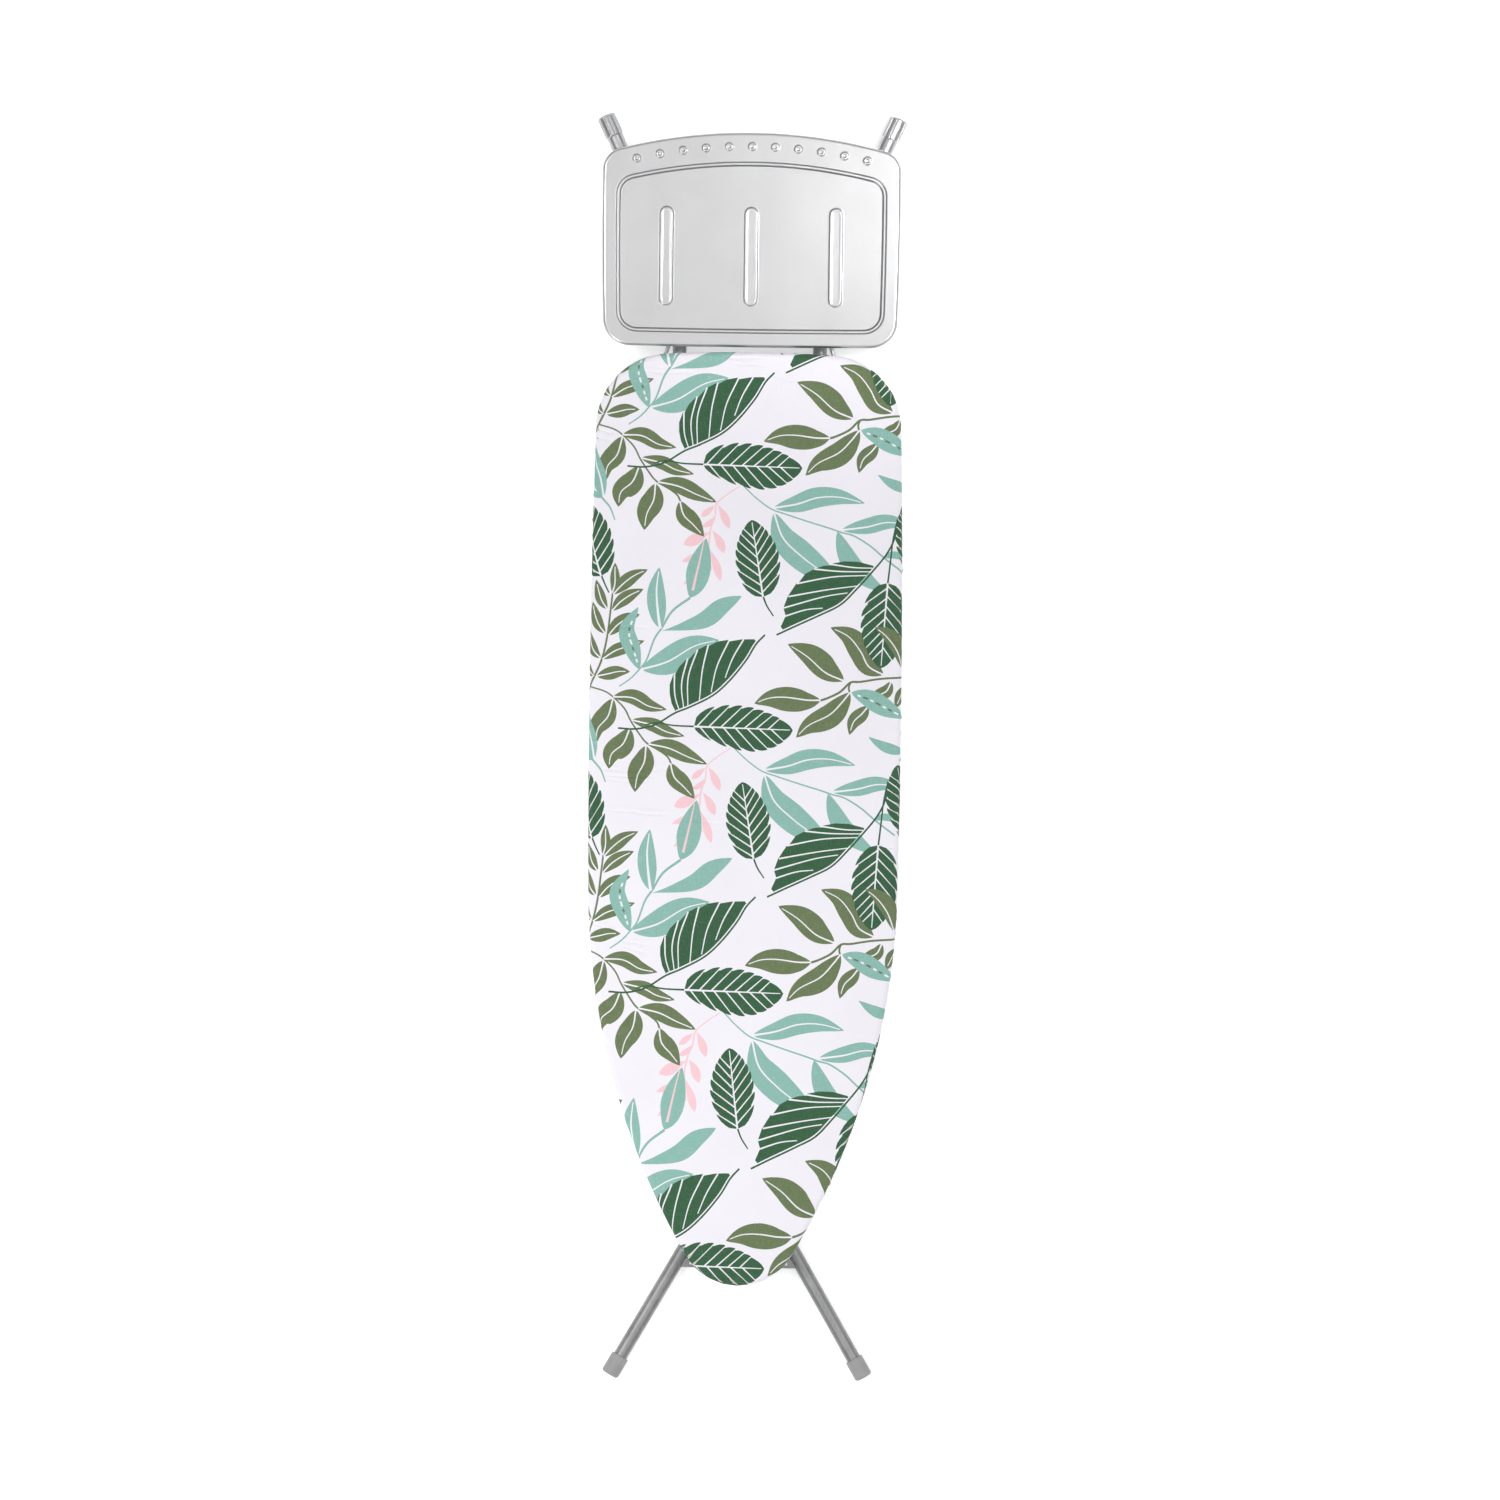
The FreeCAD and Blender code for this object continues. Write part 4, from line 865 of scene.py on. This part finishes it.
def tube_faces(first, rings, sides, closed=False):
    """The faces round a tube whose corners go ring by ring from first."""
    faces = []
    for ring in range(rings if closed else rings - 1):
        here, there = first + ring * sides, first + (ring + 1) % rings * sides
        for index in range(sides):
            beside = (index + 1) % sides
            faces.append((here + index, here + beside, there + beside, there + index))
    return faces


def gathered_hem():
    """The tube of cloth that holds the elastic, puckered all the way round."""
    middle_z, half_high, half_wide = (hem_low.z + hem_high.z) / 2, (hem_high.z - hem_low.z) / 2, 6.0 * MM
    points = board.loop(-HEM_OUTER - half_wide, 2.4 * MM)
    _, normal, along = board.nearest(points)
    turns = along / board.length() * 2 * math.pi
    around, rows = 16, []
    for index in range(around):
        angle = 2 * math.pi * index / around
        pucker = (np.cos(turns * 236 + 1.3 * math.sin(angle)) + 0.6 * np.cos(turns * 151 + 2 * angle)
                  + 0.4 * np.cos(turns * 389 + angle))
        swell = 1.0 + 0.075 * pucker
        side = flattened(math.cos(angle)) * half_wide * swell
        rise = flattened(math.sin(angle)) * half_high * np.minimum(swell, 1.12)
        rows.append(np.column_stack([points + normal * side[:, None], middle_z + rise]))
    place = np.stack(rows, 1).reshape(-1, 3)
    faces = tube_faces(0, len(points), around, closed=True)
    made = make_object("gathered_hem", place, faces, materials=[finishes["hem_cotton"]])
    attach(made, "deck")
    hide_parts(*HEM_CASINGS)
    return made


def hem_stitches():
    """A row of thread stitches along the hem's outer edge, on its underside."""
    points = board.loop(-HEM_OUTER - 2.2 * MM, 4.4 * MM)
    normal = board.nearest(points)[1]
    length, thick, low = 1.5 * MM, 0.32 * MM, hem_low.z + 1.1 * MM
    sides, place, faces = 6, [], []
    stations = ((-1.0, 0.25), (-0.7, 0.85), (0.0, 1.0), (0.7, 0.85), (1.0, 0.25))
    for (x, y), (out_x, out_y) in zip(points, normal):
        first = len(place)
        for reach, size in stations:
            run, middle_z = reach * length, low + 0.35 * MM * reach ** 2
            for index in range(sides):
                side, z = on_circle(0.0, middle_z, thick * size, 2 * math.pi * index / sides)
                place.append((x - out_y * run + out_x * side, y + out_x * run + out_y * side, z))
        last = len(place) - sides
        faces += tube_faces(first, len(stations), sides)
        faces.append(tuple(first + index for index in reversed(range(sides))))
        faces.append(tuple(last + index for index in range(sides)))
    made = make_object("hem_stitches", place, faces, materials=[finishes["hem_cotton"]])
    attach(made, "deck")
    return made


def felt_underlay():
    """The pad under the cover: round-edged, and a little uneven underneath, where it shows."""
    low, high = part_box("felt_pad")
    inset = low.y - NOSE_Y
    edge = (high.z - low.z) / 2
    bottom, top = low.z + 0.05 * MM, high.z - 0.5 * MM
    spacing = 5.0 * MM

    def place_with(sign):
        def place(flat):
            out = board.nearest(flat)[0]
            depth = np.clip((-out - inset) / edge, 0.0, 1.0)
            half = (top - bottom) / 2 * np.sqrt(1.0 - (1.0 - depth) ** 2)
            rough = 0.12 * MM * (1.0 + wave_noise(flat[:, 0], flat[:, 1], 8, 0.012)) * depth
            return np.column_stack([flat, (top + bottom) / 2 + sign * (half - np.maximum(rough, 0.0))])
        return place

    grid = hex_grid((-HALF_WIDTH, NOSE_Y), (HALF_WIDTH, REAR_Y), 7.0 * MM)
    out = board.nearest(grid)[0]
    points = [grid[out < -inset - edge - 2.0 * MM]]
    for share in (0.06, 0.15, 0.3, 0.5, 0.75, 1.0):
        points.append(board.loop(-inset - edge * share, spacing))
    flat, cells, _ = triangulate(np.vstack(points), board.loop(-inset, spacing))
    upper, lower = place_with(1), place_with(-1)
    safe = flat * (1 - 1e-4)
    place = np.vstack([upper(flat), lower(flat)])
    normals = np.vstack([surface_normals(upper, safe, 0.0001), -surface_normals(lower, safe, 0.0001)])
    faces = np.vstack([cells, cells[:, ::-1] + len(flat)])
    made = make_object("felt_underlay", place, faces, normals, [finishes["felt"]])
    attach(made, "deck")
    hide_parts("felt_pad")
    return made


# ------------ pressed iron rest
RIB_PITCH, RIB_WIDTH, RIB_LENGTH, RIB_START = 103.5 * MM, 19.0 * MM, 123.0 * MM, 49.5 * MM
RIB_HEIGHT, RECESS, BORDER, TOP_BORDER = 2.0 * MM, 5.0 * MM, 19.0 * MM, 38.0 * MM
RECESS_STEPS = ((0.45, -2.6 * MM, 2.4 * MM), (0.55, 1.2 * MM, 3.0 * MM))    # share of depth, start, run
RIB_PLACES = (-RIB_PITCH, 0.0, RIB_PITCH)
RIB_ENDS = (tray_low.y + RIB_START + RIB_WIDTH / 2, tray_low.y + RIB_START + RIB_LENGTH - RIB_WIDTH / 2)
DIMPLES, DIMPLE_PITCH, DIMPLE_RADIUS, DIMPLE_HEIGHT = 11, 28.2 * MM, 6.2 * MM, 1.6 * MM
DIMPLE_PATH_RADIUS, DIMPLE_INSET = 0.63, 17.5 * MM
SHEET = 1.0 * MM
tray = tray_outline()
pan = tray_outline(BORDER, TOP_BORDER)
TRAY_TOP = tray_high.z - DIMPLE_HEIGHT
EDGE_ROLL = 4.5 * MM
TRAY_LIP, LIP_ROLL, LIP_FLAT = 7.0 * MM, 1.3 * MM, 1.2 * MM
TRAY_STEPS = [("turn", EDGE_ROLL, QUARTER), ("run", TRAY_LIP - EDGE_ROLL - LIP_ROLL, 0.0),
              ("turn", LIP_ROLL, QUARTER), ("run", LIP_FLAT, 0.0)]
TRAY_REACH = section_reach(TRAY_STEPS, EDGE_ROLL)


def dimple_places():
    for index in range(DIMPLES):
        x = (index - (DIMPLES - 1) / 2) * DIMPLE_PITCH
        yield x, tray_high.y - DIMPLE_INSET - DIMPLE_PATH_RADIUS + math.sqrt(DIMPLE_PATH_RADIUS ** 2 - x ** 2)


def rib_distance(points, centre):
    """Distance from the straight line that a rib runs along."""
    x, y = points.T
    return np.hypot(x - centre, y - np.clip(y, *RIB_ENDS))


def dimple_distance(points, centre):
    return np.hypot(*(points - centre).T)


def tray_height(flat):
    """Height of the pressed sheet's upper face above its border."""
    inward = -pan.nearest(flat)[0]
    height = -RECESS * sum(share * smooth_step((inward - start) / run) for share, start, run in RECESS_STEPS)
    for centre in RIB_PLACES:
        away = rib_distance(flat, centre)
        height += RIB_HEIGHT * smooth_step((RIB_WIDTH / 2 - away) / (2.8 * MM))
        height -= 0.7 * MM * smooth_step((RIB_WIDTH / 2 - 3.6 * MM - away) / (2.2 * MM))
    for centre in dimple_places():
        away = dimple_distance(flat, centre) / DIMPLE_RADIUS
        ring = smooth_step((1.0 - away) / 0.42)
        height += DIMPLE_HEIGHT * (ring - 0.8 * smooth_step((0.5 - away) / 0.4))
    return height


def tray_place(flat):
    out, normal, _ = tray.nearest(flat)
    place, drop, angle = edge_section(out, TRAY_STEPS, EDGE_ROLL)
    foot = flat - normal * out[:, None]
    height = tray_height(flat) * (out < -2.0 * MM)
    return np.column_stack([foot + normal * place[:, None], TRAY_TOP - drop + height])


def rib_loop(x, reach, spacing):
    """Points round the line that a rib runs along, reach away from it."""
    low, high = RIB_ENDS
    count = max(6, math.ceil(math.pi * reach / spacing))
    points = []
    for end, start in ((high, 0.0), (low, math.pi)):
        points += [on_circle(x, end, reach, angle) for angle in np.linspace(start, start + math.pi, count)]
    for y in np.arange(low + spacing, high, spacing):
        points += [(x + reach, y), (x - reach, y)]
    return points


def pressed_iron_rest():
    points, spacing, dimple_rings = [], 3.0 * MM, 6
    for ring in np.arange(-EDGE_ROLL - 4.0 * MM, TRAY_REACH - 0.4 * MM, 0.8 * MM):
        points.append(tray.loop(ring, spacing))
    for ring in np.arange(-6.0 * MM, 4.2 * MM, 0.6 * MM):
        points.append(pan.loop(ring, spacing))
    for centre in RIB_PLACES:
        for reach in np.arange(1.0 * MM, 11.2 * MM, 0.7 * MM):
            points.append(rib_loop(centre, reach, 2.6 * MM))
    for cx, cy in dimple_places():
        for ring in range(1, dimple_rings + 2):
            points.append([on_circle(cx, cy, ring * DIMPLE_RADIUS / dimple_rings, angle)
                           for angle in np.linspace(0, 2 * math.pi, 22, endpoint=False)])
    grid = hex_grid((tray_low.x, tray_low.y), (tray_high.x, tray_high.y), 5.0 * MM)
    clear = (tray.nearest(grid)[0] < -8.0 * MM) & (np.abs(pan.nearest(grid)[0] + 1.0 * MM) > 6.0 * MM)
    for centre in RIB_PLACES:
        clear &= rib_distance(grid, centre) > 12.0 * MM
    for centre in dimple_places():
        clear &= dimple_distance(grid, centre) > 7.5 * MM
    points.append(grid[clear])
    flat, cells, _ = triangulate(np.vstack(points), tray.loop(TRAY_REACH, spacing))
    upper, normals = tray_place(flat), surface_normals(tray_place, flat, 0.00015)
    lower = upper - normals * SHEET
    count = len(flat)
    strip = [(a, a + count, b + count, b) for a, b in boundary(cells)]
    faces = [*cells, *(cells[:, ::-1] + count), *strip]
    made = make_object("pressed_iron_rest", np.vstack([upper, lower]), faces, np.vstack([normals, -normals]),
                       [finishes["tray_steel"]])
    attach(made, "deck")
    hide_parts("iron_rest_tray")
    return made


def boundary(cells):
    """The edges of a triangle mesh that only one triangle has, in that triangle's direction."""
    edges = dict.fromkeys(edge for a, b, c in cells for edge in ((a, b), (b, c), (c, a)))
    return [edge for edge in edges if edge[::-1] not in edges]


cover, cover_flat, cover_area = printed_cover()
hem = gathered_hem()
stitches = hem_stitches()
felt_underlay()
pressed_iron_rest()


# ------------ floor, light and camera
WHITE = (1.0, 1.0, 1.0, 1.0)
WALLS = 0.98                            # brightness of the white all round
LAMPS = (                               # name, place, aim, size, spread in degrees, watts
    ("softbox_left", (-0.95, -0.6, 1.15), (0.0, -0.1, 0.0), 0.6, 180.0, 6.4),
    ("softbox_right", (1.3, -0.3, 2.2), (0.0, -0.1, 0.0), 1.0, 180.0, 5.4),
    ("softbox_rest", (0.62, 0.74, 1.15), (0.14, 0.68, 0.05), 0.3, 26.0, 0.24),
    ("softbox_edge", (-0.72, 0.72, 1.0), (-0.17, 0.64, 0.05), 0.25, 18.0, 0.04),
)


def studio_floor():
    """A pale floor that keeps under the feet: the deck is the fixed body, and the legs open downward."""
    bpy.ops.mesh.primitive_plane_add(size=8.0, location=(0.0, 0.0, -0.5 * MM))
    floor = bpy.context.object
    floor.name = "floor"
    paper = Finish("pale_paper", (0.9, 0.9, 0.9, 1.0), 0.9)
    fibre = paper.ramp(paper.noise(20.0, 3.0), 0.3, 0.7)
    paper.surface("Base Color", paper.mix(fibre, (0.88, 0.88, 0.88, 1.0), (0.92, 0.92, 0.92, 1.0)))
    paper.surface("Emission Color", WHITE)
    paper.surface("Emission Strength", 0.45)
    floor.data.materials.append(paper.material)
    foot_low, foot_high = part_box("outer_foot_right")
    mark = add_object("foot_mark", None)
    mark.location = (0.0, foot_high.y, foot_low.z)
    mark.parent = frame["bodies"]["outer_frame"]
    under = floor.constraints.new("COPY_LOCATION")
    under.target = mark
    under.use_x = under.use_y = False
    under.use_offset = True


def studio_walls():
    """White all round, with dark flags above the horizon that metal can reflect."""
    world = bpy.data.worlds.new("studio")
    world.use_nodes = True
    bpy.context.scene.world = world
    sky = Nodes(world.node_tree)
    direction = sky.tree.nodes.new("ShaderNodeTexCoord").outputs["Generated"]
    split = sky.add("SeparateXYZ", {"Vector": direction})
    aside, height = split.outputs["X"], split.outputs["Z"]
    lower, upper = sky.ramp(height, 0.07, 0.14), sky.ramp(height, 0.5, 0.66, 1.0, 0.0)
    flags = sky.maths("MULTIPLY", lower, upper)
    dark = sky.maths("MULTIPLY", flags, sky.ramp(aside, -0.5, 0.5, 0.95, 0.75))
    walls = sky.tree.nodes["Background"]
    sky.set(walls, "Strength", sky.ramp(dark, 0.0, 1.0, WALLS, 0.0))
    sky.set(walls, "Color", WHITE)


def studio_lamps():
    for name, place, aim, size, spread, power in LAMPS:
        light = bpy.data.lights.new(name, "AREA")
        light.shape = "SQUARE"
        light.size = size
        light.spread = math.radians(spread)
        light.energy = power
        lamp = add_object(name, light)
        lamp.location = place
        lamp.rotation_euler = (Vector(aim) - Vector(place)).to_track_quat("-Z", "Y").to_euler()


def camera():
    """Straight above the board, turned by the small angle at which the board lies in the picture."""
    width, lens, sensor, lean = 1.8309, 300.0, 36.0, math.radians(0.73)
    centre_x, centre_y = 6.5 * MM, -3.8 * MM
    data = bpy.data.cameras.new("camera")
    data.lens, data.sensor_width = lens, sensor
    made = add_object("camera", data)
    height = width * lens / sensor + COVER_TOP
    made.matrix_world = Matrix.Translation((centre_x, centre_y, height)) @ Matrix.Rotation(lean, 4, "Z")
    bpy.context.scene.camera = made


studio_floor()
studio_walls()
studio_lamps()
camera()
bpy.context.scene.view_settings.view_transform = "Standard"
